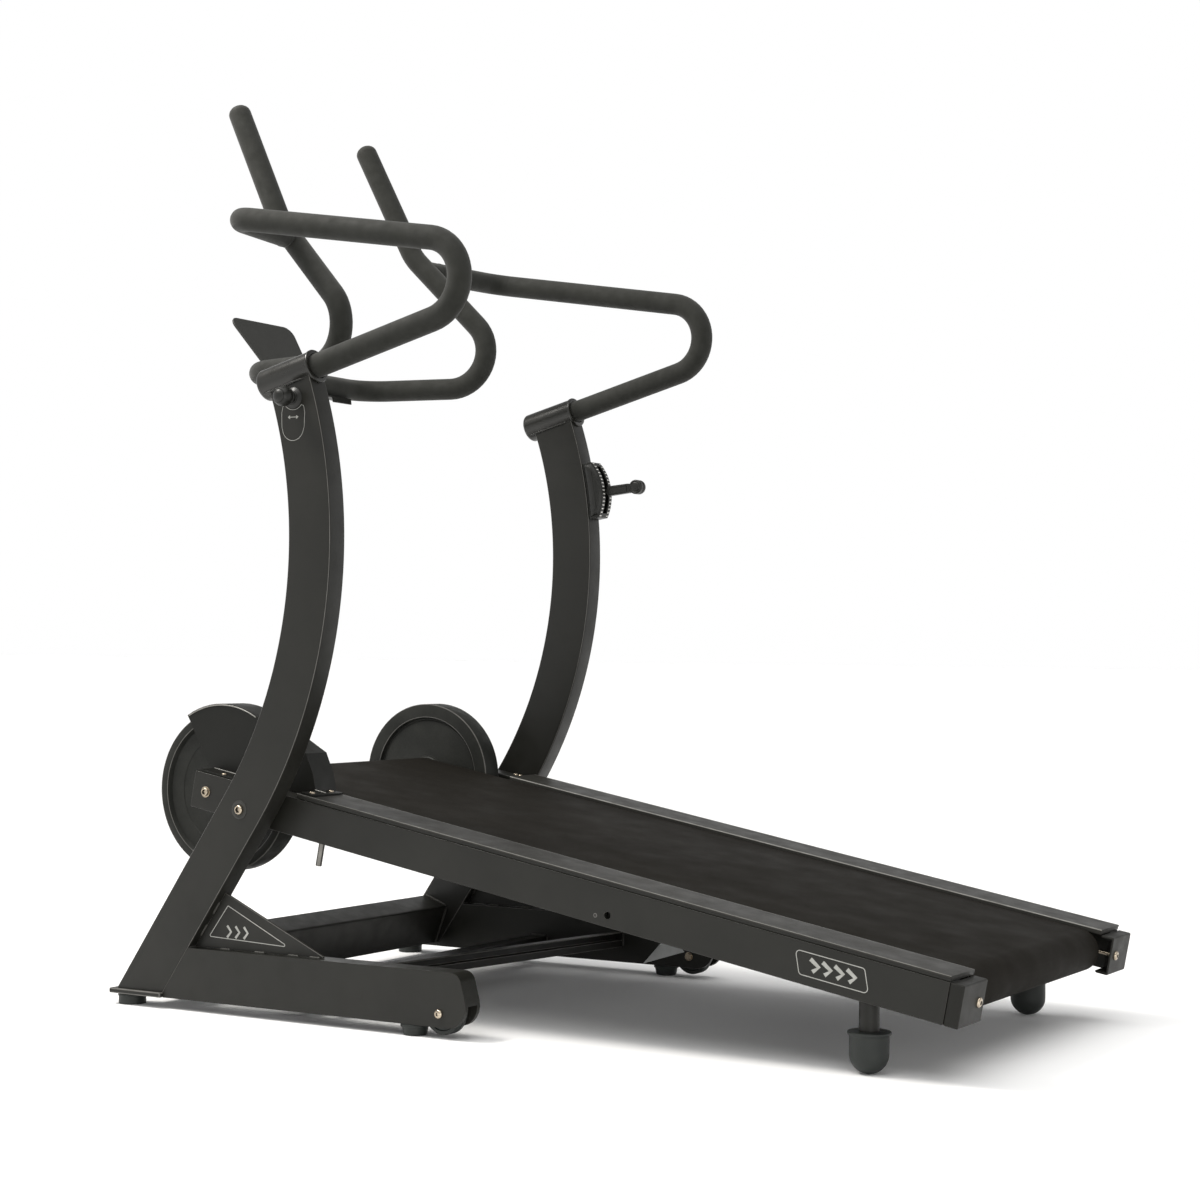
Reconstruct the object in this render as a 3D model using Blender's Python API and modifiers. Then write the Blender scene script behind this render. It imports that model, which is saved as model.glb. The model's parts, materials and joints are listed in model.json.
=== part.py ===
"""Folding manual treadmill with two flywheels, one object for each physical piece.

Metres, +Z up, X across (left side at -X), Y forward. The design datum lies on the floor, on the
symmetry plane, under the front feet. "treadmill_origin" carries that datum to the world frame.
"""

import math

import bmesh
import bpy
from mathutils import Matrix, Vector

# World frame: where the design datum lies
DATUM_X = 0.0175
DATUM_Y = 0.6923

GAP = 0.0003  # between pieces that touch
CLEAR = 0.001  # between pieces that move past each other
SIDES = (("left", -1.0), ("right", 1.0))
SIDE_VIEW = (math.pi / 2, 0.0, math.pi / 2)  # an outline drawn as (y, z), its thickness across
ACROSS = (0.0, math.pi / 2, 0.0)  # a turned piece whose axis lies along X

# Deck: local x across, local y along the slope, local z square to the running surface
PIVOT_Y = -0.2418
PIVOT_Z = 0.3295
DECK_SLOPE = math.radians(10.33)
RAIL_X = 0.340
RAIL_WIDTH = 0.040
RAIL_HEIGHT = 0.061
RAIL_FRONT = 0.148
RAIL_REAR = -1.2245
STRIP_INNER_X = 0.273
STRIP_OUTER_X = 0.360
STRIP_RISE = 0.008
STRIP_FRONT = -0.0637
CAP_LENGTH = 0.0215
ROLLER_RADIUS = 0.031
FRONT_AXLE_Y = 0.1192
REAR_AXLE_Y = -1.1733
BELT_HALF_WIDTH = 0.265
BELT_THICKNESS = 0.0025
AXLE_RADIUS = 0.0082
FLYWHEEL_RADIUS = 0.134
FLYWHEEL_X = 0.294
FLYWHEEL_WIDTH = 0.044
GUARD_RADIUS = 0.143
GUARD_SHEET = 0.0025
LEG_X = 0.318
LEG_Y = -1.293
LEG_RADIUS = 0.0145

# Base rails and what stands on them
BASE_X = 0.397
BASE_WIDTH = 0.040
BASE_BOTTOM = 0.018
BASE_TOP = 0.102
TOE_TOP = 0.0265
TOE_FRONT = 0.022
REAR_END_TOP = (-0.666, BASE_TOP)
REAR_END_BOTTOM = (-0.6895, BASE_BOTTOM)
WHEEL_Y = -0.631
WHEEL_Z = 0.0385
WHEEL_RADIUS = 0.033
WHEEL_WIDTH = 0.022
BOLT_RADIUS = 0.004

# Uprights: a straight foot that runs into an arc, in side view
ARC_Y = 0.3813
ARC_Z = 0.7555
ARC_RADIUS = 0.756
UPRIGHT_HALF_DEPTH = 0.041
FOOT_TILT = math.radians(34.18)

# Sleeves on the upright tops, and the padded handlebars
SLEEVE_TILT = math.radians(15.2)
SLEEVE_FRONT = (-0.268, 1.007)
SLEEVE_LENGTH = 0.1077
SLEEVE_RADIUS = 0.025
TUBE_RADIUS = 0.01935
OUTER_HANDLE_X = 0.392
OUTER_HANDLE_POINTS = ((-0.350, 1.0294), (-0.8786, 1.1749), (-0.195, 1.2856))
OUTER_REAR_BEND = 0.065
OUTER_FRONT_BEND = 0.045
INNER_HANDLE_POINTS = (
    (0.1845, -0.0285, 1.5270),
    (0.1964, -0.1369, 1.3128),
    (0.2356, -0.3766, 1.0663),
    (0.1659, -0.0472, 1.0649),
)
INNER_HANDLE_BENDS = (0.100, 0.068, 0.065)

# Console plate and its clamp on the handlebar's crossbar
CONSOLE_TILT = math.radians(53.5)
CONSOLE_START = 0.021
CONSOLE_LENGTH = 0.139
CONSOLE_HALF_WIDTH = 0.090
CONSOLE_FOOT_HALF_WIDTH = 0.061
CONSOLE_SHEET = 0.004
BRACKET_WIDTH = 0.090
BRACKET_SHEET = 0.003

# Locking knob on the left upright, and the hole it enters when the deck is folded
KNOB_Y = -0.341
KNOB_Z = 0.984
KNOB_TRAVEL = 0.009
FOLD_ANGLE = math.radians(92.8)

# Resistance control on the right upright: its rim is an arc about the lever's axis
LEVER_Y = -0.3478
LEVER_Z = 0.8745
DIAL_RADIUS = 0.0925
DIAL_HALF_CHORD = 0.0522
DIAL_WIDTH = 0.034
LEVER_TILT = math.radians(5.8)


def empty_the_scene():
    for obj in list(bpy.data.objects):
        bpy.data.objects.remove(obj, do_unlink=True)


def new_collection(name, hidden=False):
    collection = bpy.data.collections.new(name)
    collection.hide_render = hidden
    bpy.context.scene.collection.children.link(collection)
    return collection


def new_material(name, color, roughness, metallic=0.0):
    material = bpy.data.materials.new(name)
    material.use_nodes = True
    shader = material.node_tree.nodes["Principled BSDF"]
    shader.inputs["Base Color"].default_value = (*color, 1.0)
    shader.inputs["Roughness"].default_value = roughness
    shader.inputs["Metallic"].default_value = metallic
    return material


def new_empty(name, location, rotation=(0.0, 0.0, 0.0), parent=None):
    empty = bpy.data.objects.new(name, None)
    empty.empty_display_size = 0.05
    empty.location = location
    empty.rotation_euler = rotation
    empty.parent = parent
    PARTS.objects.link(empty)
    return empty


def finish_object(name, data, parent, location, rotation, color, smooth=False):
    """Link an object under its parent, with a material of its own."""
    obj = bpy.data.objects.new(name, data)
    obj.location = location
    obj.rotation_euler = rotation
    obj.parent = parent
    PARTS.objects.link(obj)
    data.materials.append(new_material(name + "_finish", *color))
    if smooth and obj.type == "MESH":
        smooth_round_faces(data)
    return obj


def smooth_round_faces(mesh):
    mesh.shade_smooth()
    mesh.set_sharp_from_angle(angle=math.radians(35))


def mesh_from(name, build):
    """A mesh made by a function that fills a bmesh."""
    mesh = bpy.data.meshes.new(name)
    work = bmesh.new()
    build(work)
    work.to_mesh(mesh)
    work.free()
    return mesh


def add_bevel(obj, width, segments=2):
    bevel = obj.modifiers.new("edges", "BEVEL")
    bevel.width = width
    bevel.segments = segments
    bevel.limit_method = "ANGLE"
    bevel.angle_limit = math.radians(40)


def box(name, size, center, parent, color, rotation=(0.0, 0.0, 0.0), edge=0.0):
    def build(work):
        bmesh.ops.create_cube(work, size=1.0, matrix=Matrix.Diagonal((*size, 1.0)))

    obj = finish_object(name, mesh_from(name, build), parent, center, rotation, color)
    if edge:
        add_bevel(obj, edge)
    return obj


def rod(name, radius, length, center, parent, color, rotation=ACROSS, sides=24, end_radius=None):
    """A round bar, by default lying across; end_radius tapers it towards its lower end."""

    def build(work):
        bmesh.ops.create_cone(
            work,
            cap_ends=True,
            segments=sides,
            radius1=radius if end_radius is None else end_radius,
            radius2=radius,
            depth=length,
        )

    return finish_object(
        name, mesh_from(name, build), parent, center, rotation, color, smooth=True
    )


def turned(name, profile, center, parent, color, rotation=ACROSS, steps=24, closed=False):
    """A turned shape from (radius, height) points, from the top down its outer side."""
    points = [(radius, 0.0, height) for radius, height in profile]
    edges = [(i, i + 1) for i in range(len(points) - 1)]
    if closed:
        edges.append((len(points) - 1, 0))
    mesh = bpy.data.meshes.new(name)
    mesh.from_pydata(points, edges, [])
    obj = finish_object(name, mesh, parent, center, rotation, color)
    screw = obj.modifiers.new("turning", "SCREW")
    screw.axis = "Z"
    screw.steps = steps
    screw.render_steps = steps
    screw.use_merge_vertices = True
    screw.merge_threshold = 0.00001
    screw.use_smooth_shade = False
    return obj


def outline_curve(name, outline, thickness, holes=()):
    curve = bpy.data.curves.new(name, "CURVE")
    curve.dimensions = "2D"
    curve.fill_mode = "BOTH"
    curve.extrude = thickness / 2
    for points in (outline, *holes):
        spline = curve.splines.new("POLY")
        spline.points.add(len(points) - 1)
        for point, (u, v) in zip(spline.points, points):
            point.co = (u, v, 0.0, 1.0)
        spline.use_cyclic_u = True
    return curve


def plate(name, outline, thickness, center, parent, color, rotation=SIDE_VIEW, holes=()):
    """A flat outline given a thickness, by default drawn in side view."""
    curve = outline_curve(name, outline, thickness, holes)
    return finish_object(name, curve, parent, center, rotation, color)


def tube(name, points, radius, parent, color, resolution=3):
    curve = bpy.data.curves.new(name, "CURVE")
    curve.dimensions = "3D"
    curve.bevel_depth = radius
    curve.bevel_resolution = resolution
    curve.use_fill_caps = True
    spline = curve.splines.new("POLY")
    spline.points.add(len(points) - 1)
    for point, position in zip(spline.points, points):
        point.co = (*position, 1.0)
    return finish_object(name, curve, parent, (0.0, 0.0, 0.0), (0.0, 0.0, 0.0), color)


def as_mesh(curve_object):
    """Replace a curve object by a mesh object that Booleans can work on."""
    bpy.context.view_layer.update()
    evaluated = curve_object.evaluated_get(bpy.context.evaluated_depsgraph_get())
    mesh = bpy.data.meshes.new_from_object(evaluated)
    work = bmesh.new()
    work.from_mesh(mesh)
    bmesh.ops.remove_doubles(work, verts=work.verts, dist=0.000005)
    work.to_mesh(mesh)
    work.free()
    name = curve_object.name
    parent = curve_object.parent
    place = curve_object.matrix_world.copy()
    collection = curve_object.users_collection[0]
    bpy.data.objects.remove(curve_object)
    obj = bpy.data.objects.new(name, mesh)
    collection.objects.link(obj)
    obj.parent = parent
    bpy.context.view_layer.update()
    obj.matrix_world = place
    return obj


def as_cutter(obj):
    if obj.type == "CURVE":
        obj = as_mesh(obj)
    PARTS.objects.unlink(obj)
    CUTTERS.objects.link(obj)
    obj.hide_render = True
    obj.display_type = "WIRE"
    return obj


def combine(obj, other, operation):
    boolean = obj.modifiers.new(other.name, "BOOLEAN")
    boolean.operation = operation
    boolean.solver = "EXACT"
    boolean.object = other


def cut(obj, *cutters):
    for cutter in cutters:
        combine(obj, as_cutter(cutter), "DIFFERENCE")


def weld_on(obj, *additions):
    for addition in additions:
        combine(obj, as_cutter(addition), "UNION")


def arc(center, radius, start, end, steps):
    """Points of an arc in a plane, its angles in radians from the first axis."""
    return [
        (
            center[0] + radius * math.cos(start + (end - start) * i / steps),
            center[1] + radius * math.sin(start + (end - start) * i / steps),
        )
        for i in range(steps + 1)
    ]


def rounded(points, radii, steps=6, closed=False):
    """The points of a line, each corner with a radius replaced by an arc that touches both runs."""
    points = [Vector(point) for point in points]
    result = []
    for i, corner in enumerate(points):
        radius = radii[i]
        at_end = not closed and i in (0, len(points) - 1)
        if at_end or not radius:
            result.append(tuple(corner))
            continue
        back = (points[i - 1] - corner).normalized()
        ahead = (points[(i + 1) % len(points)] - corner).normalized()
        half = back.angle(ahead) / 2
        middle = corner + (back + ahead).normalized() * radius / math.sin(half)
        begin = corner + back * radius / math.tan(half) - middle
        finish = corner + ahead * radius / math.tan(half) - middle
        sweep = begin.angle(finish)
        for k in range(steps + 1):
            share = k / steps
            first = math.sin((1 - share) * sweep) / math.sin(sweep)
            second = math.sin(share * sweep) / math.sin(sweep)
            result.append(tuple(middle + begin * first + finish * second))
    return result


def ribbon(points, width):
    """The outline of a strip of even width along a line of flat points."""
    points = [Vector(point) for point in points]
    upper = []
    lower = []
    for i, point in enumerate(points):
        before = points[max(i - 1, 0)]
        after = points[min(i + 1, len(points) - 1)]
        along = (after - before).normalized()
        if 0 < i < len(points) - 1:
            stretch = 1 / math.cos((point - before).angle_signed(after - point) / 2)
        else:
            stretch = 1.0
        normal = Vector((-along.y, along.x)) * width / 2 * stretch
        upper.append(tuple(point + normal))
        lower.append(tuple(point - normal))
    return upper + lower[::-1]


def mirrored(point, sign):
    return (point[0] * sign, *point[1:])


# Finishes: linear colour, roughness, metallic
BLACK_COAT = ((0.031, 0.031, 0.026), 0.42, 0.35)
RUBBER = ((0.030, 0.034, 0.032), 0.75)
FOAM = ((0.046, 0.050, 0.046), 0.85)
BELT = ((0.030, 0.028, 0.026), 0.80)
PLASTIC = ((0.040, 0.040, 0.037), 0.50)
STRIP = ((0.068, 0.064, 0.058), 0.55)
IRON = ((0.042, 0.041, 0.038), 0.55, 0.6)
NICKEL = ((0.560, 0.500, 0.410), 0.28, 1.0)
CHROME = ((0.760, 0.760, 0.750), 0.12, 1.0)
BOARD = ((0.060, 0.055, 0.048), 0.70)

empty_the_scene()
PARTS = new_collection("manual_treadmill")
CUTTERS = new_collection("cutters", hidden=True)
ORIGIN = new_empty("treadmill_origin", (DATUM_X, DATUM_Y, 0.0))
DECK = new_empty("deck_fold_axis", (0.0, PIVOT_Y, PIVOT_Z), (DECK_SLOPE, 0.0, 0.0), ORIGIN)
FRONT_DRUM = new_empty("front_drum_axis", (0.0, FRONT_AXLE_Y, 0.0), parent=DECK)
REAR_DRUM = new_empty("rear_drum_axis", (0.0, REAR_AXLE_Y, 0.0), parent=DECK)

# Directions in side view, as (y, z)
FOOT_DOWN = Vector((math.sin(FOOT_TILT), -math.cos(FOOT_TILT)))
FOOT_REAR = Vector((-math.cos(FOOT_TILT), -math.sin(FOOT_TILT)))
ARC_START = Vector((ARC_Y, ARC_Z)) + FOOT_REAR * ARC_RADIUS
SLEEVE_DOWN = Vector((math.cos(SLEEVE_TILT), -math.sin(SLEEVE_TILT)))
SLEEVE_UP = Vector((math.sin(SLEEVE_TILT), math.cos(SLEEVE_TILT)))


def upright_face(offset, height):
    """A point of the upright's straight foot, at this offset to the rear, at this height."""
    start = ARC_START + FOOT_REAR * offset
    travel = (start.y - height) / -FOOT_DOWN.y
    return tuple(start + FOOT_DOWN * travel)


def upright_arc(radius, steps=14):
    """One curved face of the upright, from the foot's tangent to the sleeve's axis."""
    center = Vector((ARC_Y, ARC_Z))
    reach = (Vector(SLEEVE_FRONT) - center).dot(SLEEVE_UP)
    last = SLEEVE_TILT + math.asin(reach / radius)
    return arc(center, radius, math.pi + FOOT_TILT, math.pi - last, steps)


def upright_outline():
    foot = TOE_TOP + GAP
    front = upright_arc(ARC_RADIUS - UPRIGHT_HALF_DEPTH)
    rear = upright_arc(ARC_RADIUS + UPRIGHT_HALF_DEPTH)
    return [
        upright_face(-UPRIGHT_HALF_DEPTH, foot),
        *front,
        *reversed(rear),
        upright_face(UPRIGHT_HALF_DEPTH, foot),
    ]


def sleeve_place(sign, along):
    """A point on a sleeve's axis, this far to the rear of its front end."""
    spot = Vector(SLEEVE_FRONT) - SLEEVE_DOWN * along
    return (BASE_X * sign, spot.x, spot.y)


SLEEVE_TURN = (-math.pi / 2 - SLEEVE_TILT, 0.0, 0.0)  # local +Z to the front end


def make_uprights():
    for side, sign in SIDES:
        name = side + "_upright"
        post = plate(
            name, upright_outline(), BASE_WIDTH, (BASE_X * sign, 0, 0), ORIGIN, BLACK_COAT
        )
        post = as_mesh(post)
        middle = sleeve_place(sign, SLEEVE_LENGTH / 2)
        saddle = rod(
            name + "_saddle", SLEEVE_RADIUS + GAP, 0.2, middle, ORIGIN, BLACK_COAT,
            rotation=SLEEVE_TURN, sides=32,
        )
        outer_face = (BASE_X + BASE_WIDTH / 2) * sign
        bolt_hole = rod(
            name + "_bolt_hole", 0.0083, 0.1, (BASE_X * sign, PIVOT_Y, PIVOT_Z), ORIGIN, BLACK_COAT
        )
        recess = rod(
            name + "_recess", 0.0123, 0.008, (outer_face, PIVOT_Y, PIVOT_Z), ORIGIN, BLACK_COAT
        )
        cut(post, saddle, bolt_hole, recess)
        if sign < 0:
            pin_hole = rod(
                name + "_pin_hole", 0.0052, 0.1, (BASE_X * sign, KNOB_Y, KNOB_Z), ORIGIN, BLACK_COAT
            )
            cut(post, pin_hole)
        else:
            cut(post, lever_pocket())


def make_sleeves():
    for side, sign in SIDES:
        lip = SLEEVE_RADIUS + 0.0015
        bore = TUBE_RADIUS + CLEAR
        floor = SLEEVE_LENGTH - 0.004
        profile = (
            (0.0, SLEEVE_LENGTH),
            (SLEEVE_RADIUS - 0.002, SLEEVE_LENGTH),
            (SLEEVE_RADIUS, SLEEVE_LENGTH - 0.002),
            (SLEEVE_RADIUS, 0.005),
            (lip, 0.004),
            (lip, 0.001),
            (SLEEVE_RADIUS, 0.0),
            (bore, 0.0),
            (bore, floor),
            (0.0, floor),
        )
        turned(
            side + "_sleeve", profile, sleeve_place(sign, SLEEVE_LENGTH), ORIGIN, BLACK_COAT,
            rotation=SLEEVE_TURN, steps=20,
        )


def inner_handle_path():
    """The whole padded tube, from the left grip's tip round the crossbar to the right one's."""
    bends = (0.0, *INNER_HANDLE_BENDS)
    right = [mirrored(point, 1.0) for point in INNER_HANDLE_POINTS]
    left = [mirrored(point, -1.0) for point in INNER_HANDLE_POINTS]
    return rounded(left + right[::-1], (*bends, *bends[::-1]), steps=6)


def outer_handle_path(sign, weld):
    begin, apex, corner = ((OUTER_HANDLE_X * sign, *point) for point in OUTER_HANDLE_POINTS)
    begin = (BASE_X * sign, *begin[1:])
    return rounded(
        (begin, apex, corner, weld), (0.0, OUTER_REAR_BEND, OUTER_FRONT_BEND, 0.0), steps=7
    )


def make_handlebars():
    path = inner_handle_path()
    tube("inner_handlebar", path, TUBE_RADIUS, ORIGIN, FOAM)
    weld_height = OUTER_HANDLE_POINTS[2][1]
    cope_radius = TUBE_RADIUS / math.cos(math.pi / 10) + GAP
    for side, sign in SIDES:
        name = side + "_outer_handlebar"
        half = [point for point in path if point[0] * sign > 0.1]
        weld = min(half, key=lambda point: abs(point[2] - weld_height))
        bar = as_mesh(tube(name, outer_handle_path(sign, weld), TUBE_RADIUS, ORIGIN, FOAM))
        cut(bar, tube(name + "_cope", half, cope_radius, ORIGIN, FOAM))


def make_console():
    """A plate ahead of the crossbar, carried by a bracket bent round the crossbar's underside."""
    crossbar = Vector(INNER_HANDLE_POINTS[3][1:])
    along = Vector((math.cos(CONSOLE_TILT), math.sin(CONSOLE_TILT)))
    out = Vector((along.y, -along.x))
    middle = (
        crossbar + out * (TUBE_RADIUS + GAP + CONSOLE_SHEET / 2)
        + along * (CONSOLE_START + CONSOLE_LENGTH / 2)
    )
    half = CONSOLE_LENGTH / 2
    top = CONSOLE_HALF_WIDTH
    foot = CONSOLE_FOOT_HALF_WIDTH
    outline = rounded(
        ((-foot, -half), (foot, -half), (top, half), (-top, half)),
        (0.012, 0.012, 0.018, 0.018), steps=4, closed=True,
    )
    plate(
        "console_plate", outline, CONSOLE_SHEET, (0.0, middle.x, middle.y), ORIGIN, PLASTIC,
        rotation=(CONSOLE_TILT, 0.0, 0.0),
    )
    under = TUBE_RADIUS + GAP + BRACKET_SHEET / 2
    behind = TUBE_RADIUS + CONSOLE_SHEET + 2 * GAP + BRACKET_SHEET / 2
    turn = (behind * out.y + under) / -along.y
    bend = crossbar + out * behind + along * turn
    path = (
        crossbar + Vector((-0.023, -under)),
        bend,
        crossbar + out * behind + along * (CONSOLE_START + 0.040),
    )
    plate(
        "console_bracket", ribbon(path, BRACKET_SHEET), BRACKET_WIDTH, (0.0, 0.0, 0.0), ORIGIN,
        BLACK_COAT,
    )


def base_rail_outline():
    front = upright_face(UPRIGHT_HALF_DEPTH + GAP, BASE_TOP)
    heel = upright_face(UPRIGHT_HALF_DEPTH + GAP, TOE_TOP + GAP)
    corners = (front, heel, (heel[0], BASE_BOTTOM), REAR_END_BOTTOM, REAR_END_TOP)
    return rounded(corners, (0.0, 0.0, 0.0, 0.032, 0.018), steps=6, closed=True)


def wheel_well():
    """The space in the rail's rear end that the transport wheel turns in, open below."""
    return (
        (WHEEL_Y + WHEEL_RADIUS + 0.005, -0.01),
        (WHEEL_Y + WHEEL_RADIUS + 0.005, WHEEL_Z + WHEEL_RADIUS + 0.005),
        (-0.664, WHEEL_Z + WHEEL_RADIUS + 0.005),
        (-0.674, 0.052),
        (-0.72, 0.052),
        (-0.72, -0.01),
    )


def make_base_rails():
    for side, sign in SIDES:
        name = side + "_base_rail"
        x = BASE_X * sign
        rail = as_mesh(plate(name, base_rail_outline(), BASE_WIDTH, (x, 0, 0), ORIGIN, BLACK_COAT))
        well = plate(
            name + "_well", wheel_well(), WHEEL_WIDTH + 0.003, (x, 0, 0), ORIGIN, BLACK_COAT
        )
        bore = rod(
            name + "_bore", BOLT_RADIUS + GAP, 0.1, (x, WHEEL_Y, WHEEL_Z), ORIGIN, BLACK_COAT,
            sides=16,
        )
        cut(rail, well, bore)


def make_gussets():
    for side, sign in SIDES:
        root = upright_face(UPRIGHT_HALF_DEPTH + GAP, BASE_TOP + GAP)
        top = upright_face(UPRIGHT_HALF_DEPTH + GAP, 0.1932)
        outline = (root, top, (-0.3978, 0.1056), (-0.3985, BASE_TOP + GAP))
        plate(side + "_gusset", outline, 0.005, (BASE_X * sign, 0, 0), ORIGIN, BLACK_COAT)


def make_crossbars():
    span = 2 * (BASE_X - BASE_WIDTH / 2 - GAP)
    box(
        "front_crossbar", (span, 0.054, 0.078), (0.0, -0.065, 0.069), ORIGIN, BLACK_COAT,
        rotation=(math.radians(20.5), 0.0, 0.0), edge=0.004,
    )
    box(
        "middle_crossbar", (span, 0.036, 0.030), (0.0, -0.312, 0.040), ORIGIN, BLACK_COAT,
        edge=0.003,
    )
    half = span / 2
    near_y = -0.360
    far_y = -0.485
    low = 0.046
    high = 0.0735
    plan = ((-half, near_y - 0.008), (half, far_y - 0.008), (half, far_y + 0.008))
    brace = plate(
        "diagonal_brace", (*plan, (-half, near_y + 0.008)), high - low,
        (0.0, 0.0, (low + high) / 2), ORIGIN, BLACK_COAT, rotation=(0.0, 0.0, 0.0),
    )
    brace = as_mesh(brace)
    reach = half + 0.01
    slope = (far_y - near_y) / (2 * half)
    groove = (
        (-reach, near_y - 0.02 - slope * 0.01),
        (reach, far_y - 0.02 + slope * 0.01),
        (reach, far_y + 0.0055 + slope * 0.01),
        (-reach, near_y + 0.0055 - slope * 0.01),
    )
    cut(
        brace,
        plate(
            "diagonal_brace_groove", groove, 0.012, (0.0, 0.0, high - 0.0085), ORIGIN, BLACK_COAT,
            rotation=(0.0, 0.0, 0.0),
        ),
    )


def make_feet():
    heel = upright_face(UPRIGHT_HALF_DEPTH + GAP, TOE_TOP + GAP)[0] + GAP
    for side, sign in SIDES:
        x = BASE_X * sign
        box(
            side + "_toe_plate",
            (0.048, TOE_FRONT - heel, TOE_TOP - BASE_BOTTOM),
            (x + 0.004 * sign, (TOE_FRONT + heel) / 2, (TOE_TOP + BASE_BOTTOM) / 2),
            ORIGIN, BLACK_COAT, edge=0.002,
        )
        height = BASE_BOTTOM - GAP
        rod(
            side + "_front_foot", 0.0225, height, (x, -0.005, height / 2), ORIGIN, RUBBER,
            rotation=(0.0, 0.0, 0.0),
        )
        rod(
            side + "_rear_foot", 0.0215, height, (x, -0.574, height / 2), ORIGIN, RUBBER,
            rotation=(0.0, 0.0, 0.0), end_radius=0.018,
        )


def make_transport_wheels():
    for side, sign in SIDES:
        hub = new_empty(
            side + "_wheel_axis", (BASE_X * sign, WHEEL_Y, WHEEL_Z), parent=ORIGIN
        )
        half = WHEEL_WIDTH / 2
        bore = BOLT_RADIUS + GAP
        tyre = (
            (bore, half - 0.003),
            (0.010, half - 0.003),
            (0.012, half),
            (WHEEL_RADIUS - 0.002, half),
            (WHEEL_RADIUS, half - 0.003),
            (WHEEL_RADIUS, -half + 0.003),
            (WHEEL_RADIUS - 0.002, -half),
            (0.012, -half),
            (0.010, -half + 0.003),
            (bore, -half + 0.003),
        )
        turned(side + "_transport_wheel", tyre, (0, 0, 0), hub, RUBBER, steps=20, closed=True)
        outer = BASE_WIDTH / 2 + GAP
        bolt = (
            (0.0, outer + 0.005),
            (0.0055, outer + 0.005),
            (0.00675, outer + 0.0035),
            (0.00675, outer),
            (BOLT_RADIUS, outer),
            (BOLT_RADIUS, -outer),
            (0.0065, -outer),
            (0.0065, -outer - 0.005),
            (0.0, -outer - 0.005),
        )
        turned(
            side + "_wheel_bolt", bolt, (BASE_X * sign, WHEEL_Y, WHEEL_Z), ORIGIN, NICKEL,
            rotation=(0.0, sign * math.pi / 2, 0.0), steps=16,
        )


def make_pivots():
    """Shoulder bolts that carry the deck: head in the upright's recess, collar beside the rail."""
    for side, sign in SIDES:
        outer = BASE_X + BASE_WIDTH / 2
        inner = BASE_X - BASE_WIDTH / 2
        rail_outer = RAIL_X + RAIL_WIDTH / 2
        profile = (
            (0.0, outer + 0.001),
            (0.0090, outer + 0.001),
            (0.0105, outer - 0.0005),
            (0.0105, outer - 0.0037),
            (0.0080, outer - 0.0037),
            (0.0080, inner - GAP),
            (0.0150, inner - GAP),
            (0.0150, rail_outer + GAP),
            (0.0080, rail_outer + GAP),
            (0.0080, RAIL_X - RAIL_WIDTH / 2 + 0.002),
            (0.0, RAIL_X - RAIL_WIDTH / 2 + 0.002),
        )
        turned(
            side + "_pivot_bolt", profile, (0.0, PIVOT_Y, PIVOT_Z), ORIGIN, NICKEL,
            rotation=(0.0, sign * math.pi / 2, 0.0), steps=16,
        )


def make_lock_knob():
    face = BASE_X + BASE_WIDTH / 2 + GAP
    boss = (
        (0.0052, face + 0.006),
        (0.0085, face + 0.006),
        (0.0100, face + 0.0045),
        (0.0100, face),
        (0.0052, face),
    )
    turn = (0.0, -math.pi / 2, 0.0)
    turned("knob_boss", boss, (0.0, KNOB_Y, KNOB_Z), ORIGIN, NICKEL, turn, 16, closed=True)
    axis = new_empty("lock_knob_axis", (0.0, KNOB_Y, KNOB_Z), parent=ORIGIN)
    ball = 0.0125
    centre = 0.447
    ball_points = [
        (radius, height)
        for height, radius in arc((centre, 0.0), ball, 0.0, math.radians(140), 6)
    ]
    ball_points[0] = (0.0, centre + ball)
    knob = (
        *ball_points,
        (0.0080, 0.4345),
        (0.0110, 0.4335),
        (0.0110, face + 0.006 + KNOB_TRAVEL + 0.001),
        (0.0048, face + 0.006 + KNOB_TRAVEL + 0.001),
        (0.0048, 0.3630),
        (0.0035, 0.3612),
        (0.0, 0.3612),
    )
    turned("lock_knob", knob, (0, 0, 0), axis, PLASTIC, turn, steps=16)


def dial_direction(angle):
    """A direction from the lever's axis, this far above or below the middle of the rim."""
    base = math.atan2(LEVER_Z - ARC_Z, LEVER_Y - ARC_Y)
    return base - angle


def lever_pocket():
    """The space inside the right upright that the lever's hub and neck swing in."""
    center = (LEVER_Y, LEVER_Z)
    mouth = math.radians(33)
    neck = math.radians(60)
    sector = [
        *arc(center, 0.070, dial_direction(-mouth), dial_direction(mouth), 4),
        *arc(center, 0.0145, dial_direction(neck), dial_direction(2 * math.pi - neck), 10),
    ]
    return plate("lever_pocket", sector, 0.024, (BASE_X, 0, 0), ORIGIN, BLACK_COAT)


def dial_outline(inset):
    """The dial housing in side view: on the upright's rear face, its rim about the lever's axis."""
    center = (LEVER_Y, LEVER_Z)
    half = math.asin((DIAL_HALF_CHORD - inset) / DIAL_RADIUS)
    rim = arc(center, DIAL_RADIUS - inset, dial_direction(half), dial_direction(-half), 12)
    back_radius = ARC_RADIUS + UPRIGHT_HALF_DEPTH + (GAP if inset == 0 else -0.004)
    spread = (DIAL_HALF_CHORD - inset) / back_radius
    back = arc((ARC_Y, ARC_Z), back_radius, dial_direction(-spread), dial_direction(spread), 4)
    return rim + back


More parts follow.
